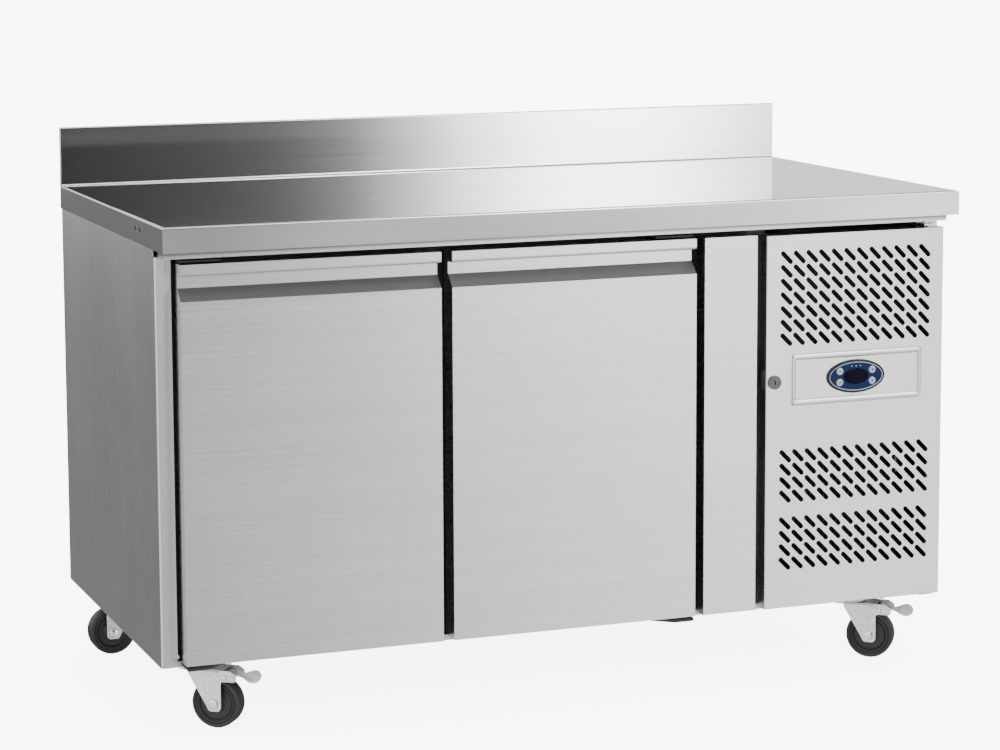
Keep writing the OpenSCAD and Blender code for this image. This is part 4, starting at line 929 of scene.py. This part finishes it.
def level_ramp(tree, position, stops, lo, hi):
    """Grey levels by position, which runs from lo to hi."""
    node = tree.nodes.new("ShaderNodeValToRGB")
    element = node.color_ramp.elements
    element[0].position, element[1].position = 0.0, 1.0
    element[0].color = (*grey(stops[0][1]), 1)
    element[1].color = (*grey(stops[-1][1]), 1)
    for x, level in stops[1:-1]:
        element.new((x - lo) / (hi - lo)).color = (*grey(level), 1)
    shift = tree.nodes.new("ShaderNodeMapRange")
    shift.inputs["From Min"].default_value = lo
    shift.inputs["From Max"].default_value = hi
    tree.links.new(position, shift.inputs["Value"])
    tree.links.new(shift.outputs[0], node.inputs[0])
    return node.outputs[0]


def room_part(tree, around, height, stops, by_height):
    """One part of the reflected room: its levels round the object, dimmed by height."""
    levels = level_ramp(tree, around, [(math.radians(a), v) for a, v in stops], -math.pi, math.pi)
    node = tree.nodes.new("ShaderNodeMix")
    node.data_type = "RGBA"
    node.blend_type = "MULTIPLY"
    node.inputs[0].default_value = 1.0
    tree.links.new(levels, node.inputs[6])
    tree.links.new(level_ramp(tree, height, by_height, -1.0, 1.0), node.inputs[7])
    return node.outputs[2]


def stage_world():
    """Metal reflects a room with dark and bright parts; matt surfaces and the camera see an even pale one."""
    world = bpy.data.worlds.new("studio")
    bpy.context.scene.world = world
    world.use_nodes = True
    world.cycles.sampling_method = "NONE"
    tree = world.node_tree
    tree.nodes.clear()
    out = tree.nodes.new("ShaderNodeOutputWorld")
    coords = tree.nodes.new("ShaderNodeTexCoord")
    split = tree.nodes.new("ShaderNodeSeparateXYZ")
    tree.links.new(coords.outputs["Generated"], split.inputs[0])
    height = split.outputs["Z"]
    ahead = math_node(tree, "MULTIPLY", split.outputs["Y"], -1.0)
    around = math_node(tree, "ARCTAN2", split.outputs["X"], ahead)
    upper = room_part(tree, around, height, UPPER_LIGHT, UPPER_BY_HEIGHT)
    lower = room_part(tree, around, height, LOWER_LIGHT, LOWER_BY_HEIGHT)
    edge = tree.nodes.new("ShaderNodeMapRange")
    edge.interpolation_type = "SMOOTHSTEP"
    edge.inputs["From Min"].default_value = LIGHT_EDGE[0]
    edge.inputs["From Max"].default_value = LIGHT_EDGE[1]
    tree.links.new(height, edge.inputs["Value"])
    mix = tree.nodes.new("ShaderNodeMix")
    mix.data_type = "RGBA"
    tree.links.new(edge.outputs[0], mix.inputs[0])
    tree.links.new(lower, mix.inputs[6])
    tree.links.new(upper, mix.inputs[7])
    studio = tree.nodes.new("ShaderNodeBackground")
    studio.inputs["Strength"].default_value = STUDIO_STRENGTH
    tree.links.new(mix.outputs[2], studio.inputs[0])

    path = tree.nodes.new("ShaderNodeLightPath")
    glow = tree.nodes.new("ShaderNodeMapRange")
    glow.inputs["To Min"].default_value = SOFT_LIGHT
    glow.inputs["To Max"].default_value = BACKDROP
    tree.links.new(path.outputs["Is Camera Ray"], glow.inputs["Value"])
    pale = tree.nodes.new("ShaderNodeBackground")
    pale.inputs["Color"].default_value = (1, 1, 1, 1)
    tree.links.new(glow.outputs[0], pale.inputs["Strength"])
    choose = tree.nodes.new("ShaderNodeMixShader")
    tree.links.new(path.outputs["Is Glossy Ray"], choose.inputs[0])
    tree.links.new(pale.outputs[0], choose.inputs[1])
    tree.links.new(studio.outputs[0], choose.inputs[2])
    tree.links.new(choose.outputs[0], out.inputs[0])


# One soft light, high up at the front right
KEY_PLACE = (2.6, -3.4, 3.2)
KEY_TARGET = (0, 0, 0.4)
KEY_SIDE = 2.5
KEY_WATTS = 60


def area_light(name, place, target, side, power):
    data = bpy.data.lights.new(name, "AREA")
    data.shape = "RECTANGLE"
    data.size = side
    data.size_y = side
    data.energy = power
    obj = bpy.data.objects.new(name, data)
    obj.location = place
    obj.rotation_mode = "QUATERNION"
    obj.rotation_quaternion = (Vector(target) - Vector(place)).to_track_quat("-Z", "Y")
    bpy.context.scene.collection.objects.link(obj)


# The camera stands in front of the object, outside its left end, and looks slightly down and to the right.
# A small lens shift frames the object.
CAMERA_PLACE = (-1.7438, -4.4883, 1.2967)
AZIMUTH, ELEVATION, ROLL = math.radians(19.78), math.radians(-7.17), math.radians(-0.41)
SENSOR_MM, LENS_MM = 36.0, 102.888
SHIFT = (0.071, -0.12)


def stage_camera():
    data = bpy.data.cameras.new("camera")
    data.sensor_width = SENSOR_MM
    data.lens = LENS_MM
    data.shift_x, data.shift_y = SHIFT
    data.clip_end = 200.0
    obj = bpy.data.objects.new("camera", data)
    bpy.context.scene.collection.objects.link(obj)
    bpy.context.scene.camera = obj
    flat = math.cos(ELEVATION)
    look = Vector((math.sin(AZIMUTH) * flat, math.cos(AZIMUTH) * flat, math.sin(ELEVATION)))
    obj.rotation_mode = "QUATERNION"
    level = look.to_track_quat("-Z", "Y")
    obj.rotation_quaternion = level @ Matrix.Rotation(ROLL, 3, "Z").to_quaternion()
    obj.location = CAMERA_PLACE


stage_floor()
stage_world()
area_light("key", KEY_PLACE, KEY_TARGET, KEY_SIDE, KEY_WATTS)
stage_camera()
